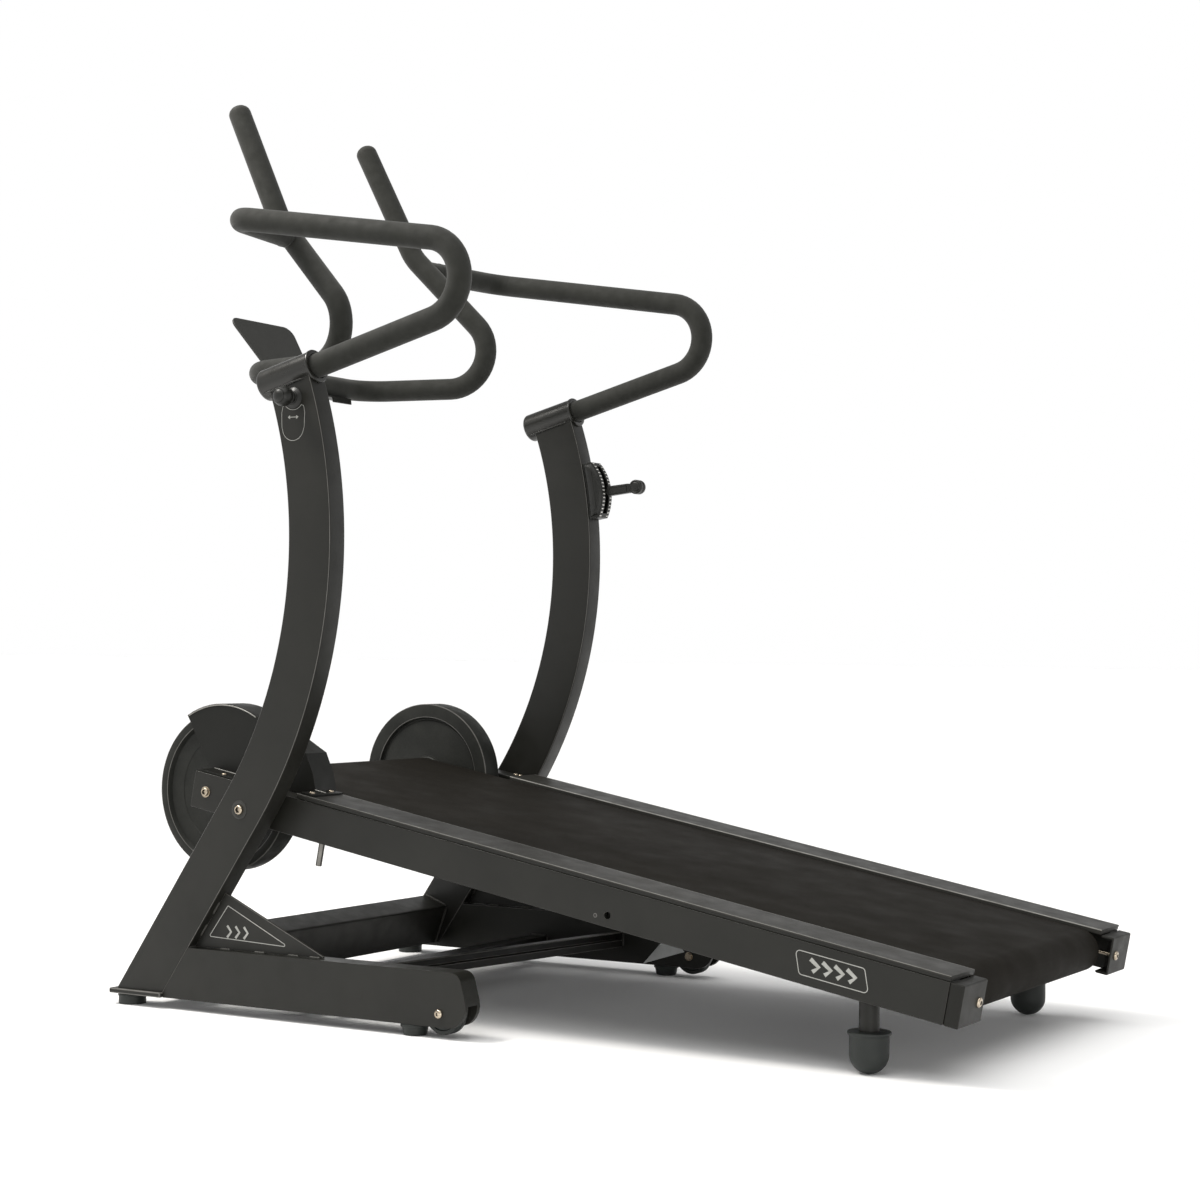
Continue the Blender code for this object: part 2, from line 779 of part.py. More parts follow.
def make_resistance_control():
    housing = plate(
        "dial_housing", dial_outline(0.0), DIAL_WIDTH, (BASE_X, 0, 0), ORIGIN, PLASTIC
    )
    housing = as_mesh(housing)
    hollow = plate(
        "dial_hollow", dial_outline(0.003), DIAL_WIDTH - 0.006, (BASE_X, 0, 0), ORIGIN, PLASTIC
    )
    center = (LEVER_Y, LEVER_Z)
    sweep = math.radians(29)
    slot_outline = [
        *arc(center, 0.075, dial_direction(sweep), dial_direction(-sweep), 8),
        *arc(center, 0.100, dial_direction(-sweep), dial_direction(sweep), 8),
    ]
    slot = plate("dial_slot", slot_outline, 0.0135, (BASE_X, 0, 0), ORIGIN, PLASTIC)
    cut(housing, hollow, slot)

    axis = new_empty(
        "lever_axis", (BASE_X, LEVER_Y, LEVER_Z), (-LEVER_TILT, 0.0, 0.0), parent=ORIGIN
    )
    hub = arc((0.0, 0.0), 0.011, math.radians(145), math.radians(-145), 12)
    arm = rounded(
        (
            (-0.0955, -0.0040),
            (-0.0955, -0.0090),
            (-0.1438, -0.0085),
            (-0.1438, 0.0085),
            (-0.0955, 0.0090),
            (-0.0955, 0.0040),
        ),
        (0.0, 0.0, 0.003, 0.003, 0.0, 0.0), steps=3,
    )
    outline = [*hub, *[(point[0], point[1]) for point in arm]]
    lever = as_mesh(plate("resistance_lever", outline, 0.011, (0, 0, 0), axis, PLASTIC))
    bore = rod("lever_bore", 0.0033, 0.05, (0, 0, 0), axis, PLASTIC, sides=16)
    cut(lever, bore)
    knob = (
        (0.0, 0.0105),
        (0.0110, 0.0105),
        (0.0132, 0.0085),
        (0.0132, -0.0085),
        (0.0110, -0.0105),
        (0.0, -0.0105),
    )
    turned("lever_knob", knob, (0.0, -0.1573, 0.0), axis, PLASTIC)
    rod(
        "lever_pin", 0.0030, 0.0234, (BASE_X, LEVER_Y, LEVER_Z), ORIGIN, NICKEL, sides=16
    )


def make_deck_rails():
    length = RAIL_FRONT - (RAIL_REAR + CAP_LENGTH)
    middle = (RAIL_FRONT + RAIL_REAR + CAP_LENGTH) / 2
    for side, sign in SIDES:
        name = side + "_deck_rail"
        x = RAIL_X * sign
        rail = box(
            name, (RAIL_WIDTH, length, RAIL_HEIGHT), (x, middle, 0.0), DECK, BLACK_COAT,
            edge=0.0025,
        )
        holes = [
            rod(name + "_pivot_hole", 0.0083, 0.1, (x, 0.0, 0.0), DECK, BLACK_COAT),
            rod(name + "_axle_hole", 0.0048, 0.1, (x, FRONT_AXLE_Y, 0.0), DECK, BLACK_COAT),
        ]
        if sign < 0:
            reach = math.hypot(KNOB_Y - PIVOT_Y, KNOB_Z - PIVOT_Z)
            rise = math.atan2(KNOB_Z - PIVOT_Z, PIVOT_Y - KNOB_Y)
            below = FOLD_ANGLE - rise - DECK_SLOPE
            lock = (-reach * math.cos(below), -reach * math.sin(below))
            outer = (RAIL_X + RAIL_WIDTH / 2) * sign
            holes.append(
                rod(name + "_lock_hole", 0.0056, 0.024, (outer, *lock), DECK, BLACK_COAT)
            )
        cut(rail, *holes)


def make_foot_strips():
    strip_rear = RAIL_REAR + CAP_LENGTH
    length = STRIP_FRONT - strip_rear - GAP
    for side, sign in SIDES:
        box(
            side + "_foot_strip",
            (STRIP_OUTER_X - STRIP_INNER_X, length, STRIP_RISE - GAP),
            (
                (STRIP_INNER_X + STRIP_OUTER_X) / 2 * sign,
                (STRIP_FRONT + strip_rear + GAP) / 2,
                RAIL_HEIGHT / 2 + GAP / 2 + STRIP_RISE / 2,
            ),
            DECK, STRIP, edge=0.0015,
        )


def make_end_caps():
    for side, sign in SIDES:
        name = side + "_end_cap"
        x = (STRIP_INNER_X + STRIP_OUTER_X) / 2 * sign
        cap = box(
            name, (STRIP_OUTER_X - STRIP_INNER_X, CAP_LENGTH - GAP, RAIL_HEIGHT),
            (x, RAIL_REAR + (CAP_LENGTH - GAP) / 2, 0.0), DECK, PLASTIC, edge=0.002,
        )
        pocket = box(
            name + "_pocket", (0.060, 0.040, RAIL_HEIGHT - 0.008),
            ((STRIP_INNER_X + 0.012) * sign, RAIL_REAR + 0.023, 0.0), DECK, PLASTIC,
        )
        bore = rod(
            name + "_bore", 0.0053, 0.05, (0.296 * sign, RAIL_REAR, 0.0), DECK, PLASTIC,
            rotation=(math.pi / 2, 0.0, 0.0), sides=16,
        )
        cut(cap, pocket, bore)
        head = (
            (0.0, 0.0045),
            (0.0042, 0.0040),
            (0.0075, 0.0012),
            (0.0075, 0.0),
            (0.0050, 0.0),
            (0.0050, -0.0405),
            (0.0, -0.0405),
        )
        turned(
            side + "_tension_bolt", head, (0.296 * sign, RAIL_REAR - GAP, 0.0), DECK, NICKEL,
            rotation=(math.pi / 2, 0.0, 0.0), steps=16,
        )


def make_axles():
    length = 2 * (RAIL_X - RAIL_WIDTH / 2 - GAP)
    rod("front_axle", AXLE_RADIUS, length, (0.0, FRONT_AXLE_Y, 0.0), DECK, NICKEL)
    rod("rear_axle", AXLE_RADIUS, length, (0.0, REAR_AXLE_Y, 0.0), DECK, NICKEL)
    outer = RAIL_X + RAIL_WIDTH / 2 + GAP
    inner = RAIL_X - RAIL_WIDTH / 2
    profile = (
        (0.0, outer + 0.005),
        (0.0065, outer + 0.005),
        (0.0078, outer + 0.0035),
        (0.0078, outer),
        (0.0045, outer),
        (0.0045, inner),
        (0.0, inner),
    )
    for side, sign in SIDES:
        turned(
            side + "_axle_bolt", profile, (0.0, FRONT_AXLE_Y, 0.0), DECK, NICKEL,
            rotation=(0.0, sign * math.pi / 2, 0.0), steps=16,
        )


def make_drums():
    bore = AXLE_RADIUS + GAP
    half = BELT_HALF_WIDTH - 0.002
    hub_radius = 0.0150
    hub_end = FLYWHEEL_X + FLYWHEEL_WIDTH / 2
    front = (
        (bore, hub_end),
        (hub_radius, hub_end),
        (hub_radius, half),
        (ROLLER_RADIUS, half),
        (ROLLER_RADIUS, -half),
        (hub_radius, -half),
        (hub_radius, -hub_end),
        (bore, -hub_end),
    )
    turned("front_roller", front, (0, 0, 0), FRONT_DRUM, CHROME, closed=True)
    rear = ((bore, half), (ROLLER_RADIUS, half), (ROLLER_RADIUS, -half), (bore, -half))
    turned("rear_roller", rear, (0, 0, 0), REAR_DRUM, CHROME, closed=True)


def flywheel_profile():
    """Rim, sloping recess, web and hub, the same on both faces."""
    half = FLYWHEEL_WIDTH / 2
    outside = (
        (0.0153, half),
        (0.0310, half),
        (0.0330, half - 0.009),
        (0.0920, half - 0.009),
        (0.0960, half - 0.005),
        (0.1150, half - 0.011),
        (0.1200, half),
        (FLYWHEEL_RADIUS, half),
    )
    return outside + tuple((radius, -height) for radius, height in reversed(outside))


def make_flywheels():
    for side, sign in SIDES:
        turned(
            side + "_flywheel", flywheel_profile(), (FLYWHEEL_X * sign, 0, 0), FRONT_DRUM, IRON,
            steps=36, closed=True,
        )


def make_flywheel_guard():
    """Bent sheet over the left flywheel: a side plate, a hood and two feet."""
    center = (FRONT_AXLE_Y, 0.0)
    sheet_x = -(FLYWHEEL_X + FLYWHEEL_WIDTH / 2 + 0.0035)
    hood_inner = -(BELT_HALF_WIDTH + 0.001)
    crown = arc(center, GUARD_RADIUS, math.radians(48.6), math.radians(110.7), 12)
    descent = [(-0.0403, 0.0960), (-0.0596, 0.0678), (-0.0714, 0.0408)]
    rail_top = RAIL_HEIGHT / 2 + 0.0008
    strip_top = RAIL_HEIGHT / 2 + STRIP_RISE + 0.0006
    side_outline = [
        (0.1566, 0.0395),
        *crown,
        *descent[:2],
        (descent[2][0], strip_top),
        (STRIP_FRONT + 0.002, strip_top),
        (STRIP_FRONT + 0.002, rail_top),
        (0.1460, rail_top),
    ]
    guard = plate(
        "flywheel_guard", side_outline, GUARD_SHEET, (sheet_x, 0, 0), DECK, BLACK_COAT
    )
    guard = as_mesh(guard)
    hood_outline = ribbon([*crown, *descent], GUARD_SHEET)
    hood_width = hood_inner - (sheet_x - GUARD_SHEET / 2)
    hood = plate(
        "guard_hood", hood_outline, hood_width, (hood_inner - hood_width / 2, 0, 0), DECK,
        BLACK_COAT,
    )
    front_foot = box(
        "guard_front_foot", (0.0372, 0.110, GUARD_SHEET),
        (sheet_x - 0.0185, 0.085, rail_top + GUARD_SHEET / 2), DECK, BLACK_COAT,
    )
    rear_foot = box(
        "guard_rear_foot", (0.080, 0.0235, GUARD_SHEET),
        (-0.3155, -0.0817, strip_top + GUARD_SHEET / 2), DECK, BLACK_COAT,
    )
    weld_on(guard, hood, front_foot, rear_foot)


def make_running_surface():
    board_top = ROLLER_RADIUS + GAP / 2
    thickness = 0.016
    front = FRONT_AXLE_Y - 0.040
    rear = REAR_AXLE_Y + 0.040
    box(
        "deck_board", (0.536, front - rear, thickness),
        (0.0, (front + rear) / 2, board_top - GAP / 2 - thickness / 2), DECK, BOARD, edge=0.001,
    )
    for place, y in (("front", -0.180), ("rear", -0.880)):
        top = board_top - GAP / 2 - thickness - GAP
        height = 0.030
        box(
            place + "_cross_member", (2 * (RAIL_X - RAIL_WIDTH / 2 - GAP), 0.040, height),
            (0.0, y, top - height / 2), DECK, BLACK_COAT, edge=0.002,
        )
    inner = ROLLER_RADIUS + GAP
    outer = inner + BELT_THICKNESS
    loops = [
        [
            *arc((FRONT_AXLE_Y, 0.0), radius, -math.pi / 2, math.pi / 2, 14),
            *arc((REAR_AXLE_Y, 0.0), radius, math.pi / 2, 3 * math.pi / 2, 14),
        ]
        for radius in (outer, inner)
    ]
    plate(
        "running_belt", loops[0], 2 * BELT_HALF_WIDTH, (0, 0, 0), DECK, BELT, holes=[loops[1]]
    )


def make_rear_legs():
    """Stems that stand upright under the sloping rails, each on a round rubber foot."""
    slope = math.tan(DECK_SLOPE)
    foot_top = 0.060
    for side, sign in SIDES:
        rail_bottom = PIVOT_Z + (LEG_Y - PIVOT_Y) * slope - RAIL_HEIGHT / 2 / math.cos(DECK_SLOPE)
        stem_top = rail_bottom - LEG_RADIUS * slope - GAP
        stem_bottom = foot_top - 0.012
        leg = new_empty(
            side + "_leg_place", (0.0, LEG_Y - PIVOT_Y, 0.0), parent=new_empty(
                side + "_leg_level", (0, 0, 0), (-DECK_SLOPE, 0, 0), DECK
            )
        )
        rod(
            side + "_leg_stem", LEG_RADIUS, stem_top - stem_bottom,
            (LEG_X * sign, 0.0, (stem_top + stem_bottom) / 2 - PIVOT_Z), leg, BLACK_COAT,
            rotation=(0, 0, 0),
        )
        bell = 0.0285
        dome = [
            (radius, height)
            for radius, height in arc((0.0, bell), bell, 0.0, -math.pi / 2, 5)
        ]
        dome[-1] = (0.0, 0.0)
        socket = LEG_RADIUS + GAP
        profile = (
            (0.0, stem_bottom - GAP),
            (socket, stem_bottom - GAP),
            (socket, foot_top),
            (0.0315, foot_top - 0.001),
            (0.0315, foot_top - 0.003),
            (bell, foot_top - 0.006),
            *dome,
        )
        turned(
            side + "_ball_foot", profile, (LEG_X * sign, 0.0, -PIVOT_Z), leg, RUBBER,
            rotation=(0, 0, 0), steps=20,
        )


def make_stop_pin():
    top = -RAIL_HEIGHT / 2 - GAP
    length = 0.0392
    rod(
        "stop_pin", 0.005, length, (-RAIL_X, -0.115, top - length / 2), DECK, CHROME,
        rotation=(0, 0, 0), sides=16,
    )


make_uprights()
make_sleeves()
make_handlebars()
make_console()
make_base_rails()
make_gussets()
make_crossbars()
make_feet()
make_transport_wheels()
make_pivots()
make_lock_knob()
make_resistance_control()
make_deck_rails()
make_foot_strips()
make_end_caps()
make_axles()
make_drums()
make_flywheels()
make_flywheel_guard()
make_running_surface()
make_rear_legs()
make_stop_pin()
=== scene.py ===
"""The looks of the folding manual treadmill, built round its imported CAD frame.

Metres, +Z up. Sizes below are in the part's design frame: x across from the symmetry plane, y forward
from the datum under the front feet, z up from the floor. at() carries them to the world.
"""

import json
from math import asin, atan2, ceil, cos, pi, radians, sin, sqrt, tan

import bmesh
import bpy
from mathutils import Matrix, Vector


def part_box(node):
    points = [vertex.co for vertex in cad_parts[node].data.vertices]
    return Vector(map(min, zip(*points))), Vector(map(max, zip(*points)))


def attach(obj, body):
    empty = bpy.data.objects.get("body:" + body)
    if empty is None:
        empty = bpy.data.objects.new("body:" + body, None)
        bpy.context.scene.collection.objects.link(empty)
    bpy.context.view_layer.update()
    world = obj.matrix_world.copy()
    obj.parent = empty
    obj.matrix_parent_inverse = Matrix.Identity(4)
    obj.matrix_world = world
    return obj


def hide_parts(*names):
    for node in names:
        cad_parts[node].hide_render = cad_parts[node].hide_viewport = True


SIDES = (("left", -1.0), ("right", 1.0))

# The camera, in the design frame
CAMERA_PLACE = (-3.33612, -2.63003, 0.59265)
CAMERA_AIM = (0.86099, 0.50820, 0.02068)
CAMERA_ROLL = radians(0.517)
CAMERA_LENS = 69.93

# Uprights: a straight foot that runs into an arc, in side view
ARC_CENTER = (0.3813, 0.7555)
ARC_RADIUS = 0.756
UPRIGHT_HALF_DEPTH = 0.041
FOOT_TILT = radians(34.18)
TUBE_CORNER = 0.0032

# Sleeves and handlebars
SLEEVE_TILT = radians(15.2)
SLEEVE_FRONT = (-0.268, 1.007)
SLEEVE_LENGTH = 0.1077
SLEEVE_RADIUS = 0.025
FOAM_RADIUS = 0.0193
OUTER_HANDLE_X = 0.392
OUTER_HANDLE_POINTS = ((-0.300, 1.0158), (-0.8786, 1.1749), (-0.195, 1.2856))
INNER_HANDLE_POINTS = (
    (0.1845, -0.0285, 1.5270),
    (0.1964, -0.1369, 1.3128),
    (0.2356, -0.3766, 1.0663),
    (0.1659, -0.0472, 1.0649),
)

# Flywheels, in the front drum's frame: radius and height above the wheel's middle plane
FLYWHEEL_HALF = 0.022
FLYWHEEL_RADIUS = 0.134

# Resistance control
LEVER_TILT = radians(5.8)
DIAL_RADIUS = 0.0925
DIAL_HALF_CHORD = 0.0522

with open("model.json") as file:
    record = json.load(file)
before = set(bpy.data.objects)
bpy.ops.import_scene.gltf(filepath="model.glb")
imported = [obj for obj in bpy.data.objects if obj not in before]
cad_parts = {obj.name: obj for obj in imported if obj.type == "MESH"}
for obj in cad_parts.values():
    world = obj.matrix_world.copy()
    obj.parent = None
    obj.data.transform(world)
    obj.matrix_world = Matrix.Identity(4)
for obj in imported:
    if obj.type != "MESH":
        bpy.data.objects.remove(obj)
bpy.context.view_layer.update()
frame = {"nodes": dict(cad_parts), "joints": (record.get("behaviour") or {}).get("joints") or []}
NODES = frame["nodes"]
JOINTS = {joint["name"]: joint for joint in frame["joints"]}


def middle(node):
    low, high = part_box(node)
    return (low + high) / 2


def joint_place(name):
    return Vector(JOINTS[name]["pos_m"])


PIVOT = joint_place("deck_fold")
DATUM = Vector((PIVOT.x, middle("left_front_foot").y + 0.005, 0.0))
BASE_X = middle("right_base_rail").x - DATUM.x
RAIL_X = middle("right_deck_rail").x - DATUM.x
TUBE_HALF = 0.020
UPRIGHT_OUTER = BASE_X + TUBE_HALF
UPRIGHT_INNER = BASE_X - TUBE_HALF
RAIL_OUTER = RAIL_X + TUBE_HALF
AXLE_RUN = joint_place("front_drum_spin") - joint_place("rear_drum_spin")
DECK_SLOPE = atan2(AXLE_RUN.z, AXLE_RUN.y)
DECK = Matrix.Translation(PIVOT) @ Matrix.Rotation(DECK_SLOPE, 4, "X")
FROM_DECK = DECK.inverted()
FRONT_AXLE_Y = (FROM_DECK @ joint_place("front_drum_spin")).y
REAR_AXLE_Y = (FROM_DECK @ joint_place("rear_drum_spin")).y
TO_SIDE = Matrix.Rotation(pi / 2, 4, "Y")  # local +Z to world +X
SIDE_PLANE = Matrix(((0, 0, 1, 0), (1, 0, 0, 0), (0, 1, 0, 0), (0, 0, 0, 1)))  # X, Y to world Y, Z
LEFT = Vector((-1.0, 0.0, 0.0))
PAINT_LIFT = 0.0001


def at(x, y, z):
    return DATUM + Vector((x, y, z))


# ---- materials

NOISE_LOW, NOISE_HIGH = 0.3, 0.7


class Shades:
    """A procedural material under construction: nodes fed by object coordinates, one shader."""

    def __init__(self, name):
        self.material = bpy.data.materials.new(name)
        self.material.use_nodes = True
        self.tree = self.material.node_tree
        self.shader = self.tree.nodes["Principled BSDF"]
        self.place = self.tree.nodes.new("ShaderNodeTexCoord").outputs["Object"]

    def fill(self, node, values):
        """Set a node's inputs and properties by name, and link the values that are outputs."""
        for name, value in values.items():
            socket = node.inputs.get(name.replace("_", " "))
            if socket is None:
                setattr(node, name, value)
            elif isinstance(value, bpy.types.NodeSocket):
                self.tree.links.new(value, socket)
            elif value is not None:
                socket.default_value = value
        return node

    def add(self, kind, **values):
        return self.fill(self.tree.nodes.new(kind), values)

    def shade(self, **values):
        self.fill(self.shader, values)
        return self.material

    def stretched(self, scale, turn=0.0):
        mapping = self.add(
            "ShaderNodeMapping", Vector=self.place, Scale=scale, Rotation=(0.0, 0.0, turn)
        )
        return mapping.outputs["Vector"]

    def noise(self, scale, detail=3.0, vector=None):
        node = self.add(
            "ShaderNodeTexNoise", Vector=vector or self.place, Scale=scale, Detail=detail
        )
        return node.outputs["Fac"]

    def spread(self, value, low, high):
        """A number that follows a noise over the middle of its range."""
        node = self.add(
            "ShaderNodeMapRange", Value=value, From_Min=NOISE_LOW, From_Max=NOISE_HIGH,
            To_Min=low, To_Max=high,
        )
        return node.outputs["Result"]

    def blend(self, value, dark, light):
        """A colour that follows a noise over the middle of its range."""
        ramp = self.add("ShaderNodeValToRGB", Fac=value)
        ends = ((NOISE_LOW, dark), (NOISE_HIGH, light))
        for element, (position, color) in zip(ramp.color_ramp.elements, ends):
            element.position = position
            element.color = (*color, 1.0)
        return ramp.outputs["Color"]

    def bump(self, height, strength, depth, under=None):
        node = self.add(
            "ShaderNodeBump", Height=height, Strength=strength, Distance=depth, Normal=under
        )
        return node.outputs["Normal"]


def even_finish(name, dark, light, rough, grain, depth, shine=0.5, blotch=7.0, speckle=0.0):
    """Colour that drifts between two tones, roughness that drifts with it, and a fine grain."""
    look = Shades(name)
    drift = look.noise(blotch, 4.0)
    fine = look.noise(grain, 2.0)
    if speckle:
        mix = look.add("ShaderNodeMix", data_type="FLOAT", Factor=speckle, A=drift, B=fine)
        drift = mix.outputs[0]
    return look.shade(
        Base_Color=look.blend(drift, dark, light),
        Roughness=look.spread(look.noise(blotch * 4.3, 3.0), *rough),
        Normal=look.bump(fine, 1.0, depth),
        Specular_IOR_Level=shine,
    )


def brushed_finish(name, dark, light, rough, axis):
    """Metal with fine scratches that run round or along one axis."""
    look = Shades(name)
    scale = [900.0, 900.0, 900.0]
    scale[axis] = 30.0
    lines = look.noise(1.0, 4.0, look.stretched(scale))
    return look.shade(
        Base_Color=look.blend(look.noise(40.0), dark, light),
        Roughness=look.spread(lines, *rough),
        Normal=look.bump(lines, 0.35, 0.00004),
        Metallic=1.0,
    )


def belt_finish():
    """A belt's fine lozenge weave, with streaks along the run."""
    look = Shades("belt_weave")
    ridges = None
    for turn in (radians(38), radians(-38)):
        waves = look.add(
            "ShaderNodeTexWave", wave_profile="SIN", Scale=150.0, Distortion=0.25,
            Vector=look.stretched((1.0, 1.0, 1.0), turn),
        )
        ridges = look.bump(waves.outputs["Fac"], 0.5, 0.00012, ridges)
    streaks = look.noise(1.0, 5.0, look.stretched((16.0, 1.2, 1.2)))
    return look.shade(
        Base_Color=look.blend(streaks, (0.0096, 0.0084, 0.0066), (0.0118, 0.0105, 0.0084)),
        Roughness=look.spread(look.noise(14.0, 4.0), 0.62, 0.78),
        Normal=look.bump(look.noise(900.0, 2.0), 0.6, 0.00015, ridges),
        Specular_IOR_Level=0.05,
    )


def foam_finish():
    """Closed-cell foam: fine pits, a soft sheen, faint rubbed patches."""
    look = Shades("foam")
    cells = look.add("ShaderNodeTexVoronoi", Vector=look.place, Scale=900.0)
    skin = look.bump(cells.outputs["Distance"], 0.7, 0.00016)
    patches = look.noise(16.0, 5.0)
    return look.shade(
        Base_Color=look.blend(patches, (0.0120, 0.0123, 0.0098), (0.0172, 0.0176, 0.0144)),
        Roughness=look.spread(look.noise(60.0, 3.0), 0.72, 0.88),
        Normal=look.bump(look.noise(38.0, 3.0), 0.35, 0.0012, skin),
        Specular_IOR_Level=0.28, Sheen_Weight=0.12, Sheen_Roughness=0.45,
    )


def cast_finish():
    """Enamel over a rough casting, with shallow dimples."""
    look = Shades("enamelled_iron")
    skin = look.bump(look.noise(260.0, 4.0), 0.8, 0.00035)
    patches = look.noise(18.0, 5.0)
    return look.shade(
        Base_Color=look.blend(patches, (0.0090, 0.0096, 0.0080), (0.0170, 0.0174, 0.0148)),
        Roughness=look.spread(look.noise(70.0, 3.0), 0.42, 0.62),
        Normal=look.bump(look.noise(45.0, 3.0), 0.5, 0.0012, skin),
        Specular_IOR_Level=0.20,
    )


COAT = even_finish(
    "powder_coat", (0.0090, 0.0090, 0.0073), (0.0142, 0.0140, 0.0115), (0.36, 0.50),
    1500.0, 0.00006, speckle=0.25, shine=0.27,
)
SATIN = even_finish(
    "satin_coat", (0.0080, 0.0079, 0.0063), (0.0125, 0.0122, 0.0100), (0.24, 0.33),
    1900.0, 0.000008, speckle=0.2, shine=0.46,
)
# A lighter coat for bevels, rims and one facet of each upright corner: a painted highlight along
# edges.
EDGE_HIGHLIGHT = even_finish(
    "painted_edge_highlight", (0.060, 0.058, 0.052), (0.105, 0.101, 0.092), (0.34, 0.46),
    1100.0, 0.00005, blotch=60.0, shine=0.5,
)
STRIP = even_finish(
    "strip_texture", (0.0155, 0.0150, 0.0126), (0.0225, 0.0217, 0.0184), (0.42, 0.54),
    1300.0, 0.00010, speckle=0.4, shine=0.22,
)
# Pale tone for the strips' rims and the guard's lip line: a painted highlight.
RIM_HIGHLIGHT = even_finish(
    "strip_rim_highlight", (0.14, 0.135, 0.122), (0.24, 0.235, 0.215), (0.34, 0.50),
    900.0, 0.00005, blotch=45.0, shine=0.5,
)
PLASTIC = even_finish(
    "fine_moulding", (0.0150, 0.0152, 0.0130), (0.0210, 0.0212, 0.0182), (0.42, 0.56),
    2100.0, 0.00007, speckle=0.3, shine=0.42,
)
CAP_PLASTIC = even_finish(
    "cap_moulding", (0.0078, 0.0078, 0.0063), (0.0120, 0.0119, 0.0098), (0.44, 0.56),
    1700.0, 0.00009, speckle=0.3, shine=0.20,
)
RUBBER = even_finish(
    "moulded_rubber", (0.0130, 0.0155, 0.0140), (0.0200, 0.0228, 0.0210), (0.46, 0.62),
    700.0, 0.00010, speckle=0.3, shine=0.32,
)
BOARD = even_finish(
    "phenolic_board", (0.022, 0.019, 0.016), (0.034, 0.029, 0.024), (0.45, 0.60),
    420.0, 0.00012, speckle=0.5, shine=0.35,
)
INK = even_finish(
    "silver_ink", (0.27, 0.27, 0.25), (0.36, 0.36, 0.34), (0.45, 0.60),
    1500.0, 0.00002, blotch=120.0, shine=0.4,
)
WHITE_INK = even_finish(
    "white_ink", (0.50, 0.49, 0.46), (0.66, 0.65, 0.62), (0.40, 0.55),
    1500.0, 0.00002, blotch=150.0, shine=0.4,
)
ZINC = brushed_finish("bare_zinc", (0.50, 0.51, 0.50), (0.66, 0.67, 0.66), (0.42, 0.60), 1)
NICKEL = brushed_finish("nickel", (0.36, 0.30, 0.225), (0.52, 0.45, 0.355), (0.18, 0.32), 0)
PIN_STEEL = brushed_finish("pin_steel", (0.12, 0.116, 0.108), (0.20, 0.193, 0.180), (0.16, 0.26), 2)
GLOSS = even_finish(
    "polished_moulding", (0.0060, 0.0062, 0.0050), (0.0092, 0.0094, 0.0077), (0.34, 0.44),
    2600.0, 0.00002, speckle=0.2, shine=0.34,
)
WELD = even_finish(
    "coated_weld", (0.026, 0.0255, 0.0222), (0.046, 0.045, 0.039), (0.34, 0.50),
    900.0, 0.00008, blotch=50.0, shine=0.40,
)
CHROME = brushed_finish("chrome_plate", (0.70, 0.69, 0.68), (0.80, 0.79, 0.78), (0.07, 0.16), 2)
SOCKET = even_finish(
    "socket_shadow", (0.010, 0.009, 0.008), (0.018, 0.016, 0.014), (0.5, 0.7),
    900.0, 0.00004, blotch=90.0,
)
FOAM = foam_finish()
BELT = belt_finish()
IRON = cast_finish()
IRON_COAT = even_finish(
    "guard_coat", (0.0058, 0.0060, 0.0048), (0.0085, 0.0087, 0.0070), (0.40, 0.54),
    1500.0, 0.00006, speckle=0.25, shine=0.20,
)

# ---- mesh tools


def placed(name, data):
    """A new object for this data, linked to the scene."""
    obj = bpy.data.objects.new(name, data)
    bpy.context.scene.collection.objects.link(obj)
    return obj


def piece(name, build, body, materials, replaces=(), crease=35.0, bevel=None):
    """A mesh that build() fills, in world coordinates, riding on a body."""
    mesh = bpy.data.meshes.new(name)
    work = bmesh.new()
    build(work)
    bmesh.ops.remove_doubles(work, verts=work.verts, dist=0.000002)
    bmesh.ops.dissolve_degenerate(work, edges=work.edges, dist=0.000002)
    bmesh.ops.recalc_face_normals(work, faces=work.faces)
    work.to_mesh(mesh)
    work.free()
    for material in materials:
        mesh.materials.append(material)
    mesh.shade_smooth()
    mesh.set_sharp_from_angle(angle=radians(crease))
    obj = placed(name, mesh)
    if bevel:
        soften(obj, bevel)
    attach(obj, body)
    if replaces:
        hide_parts(*replaces)
    return obj


def soften(obj, width, edge_material=0):
    modifier = obj.modifiers.new("rounded_edges", "BEVEL")
    modifier.width = width
    modifier.segments = 3
    modifier.limit_method = "ANGLE"
    modifier.angle_limit = radians(38)
    modifier.harden_normals = True
    modifier.material = edge_material
    return modifier


def loft(work, rings, closed_path=False, closed_ring=True, capped=True, material=0):
    """Faces between rings of points, one ring after another."""
    rows = [[work.verts.new(point) for point in ring] for ring in rings]
    steps = list(zip(rows, rows[1:]))
    if closed_path:
        steps.append((rows[-1], rows[0]))
    count = len(rows[0])
    faces = []
    for first, second in steps:
        for i in range(count if closed_ring else count - 1):
            j = (i + 1) % count
            faces.append(work.faces.new((first[i], first[j], second[j], second[i])))
    if capped and closed_ring and not closed_path:
        faces.append(work.faces.new(rows[0]))
        faces.append(work.faces.new(rows[-1]))
    for face in faces:
        face.material_index = material
    return faces


def lathe(work, profile, place, steps=64, closed=False, material=0):
    """A turned shape from (radius, height) points round the local Z axis of place."""
    rings = []
    for step in range(steps):
        angle = 2 * pi * step / steps
        turn = Vector((cos(angle), sin(angle), 0.0))
        rings.append([place @ (turn * reach + Vector((0, 0, height))) for reach, height in profile])
    return loft(work, rings, closed_path=True, closed_ring=closed, material=material)


def turned(name, profile, place, steps, body, material, replaces=(), crease=35.0):
    """A piece that is one turned shape, its profile closed where both ends have one radius."""
    closed = profile[0][0] > 0 and profile[0][0] == profile[-1][0]

    def build(work):
        lathe(work, profile, place, steps, closed)

    piece(name, build, body, [material], replaces, crease)


def slab(work, outline, place, low, high):
    """A flat outline of (u, v) points given a thickness along the local Z of place."""
    loft(work, [[place @ Vector((u, v, height)) for u, v in outline] for height in (low, high)])


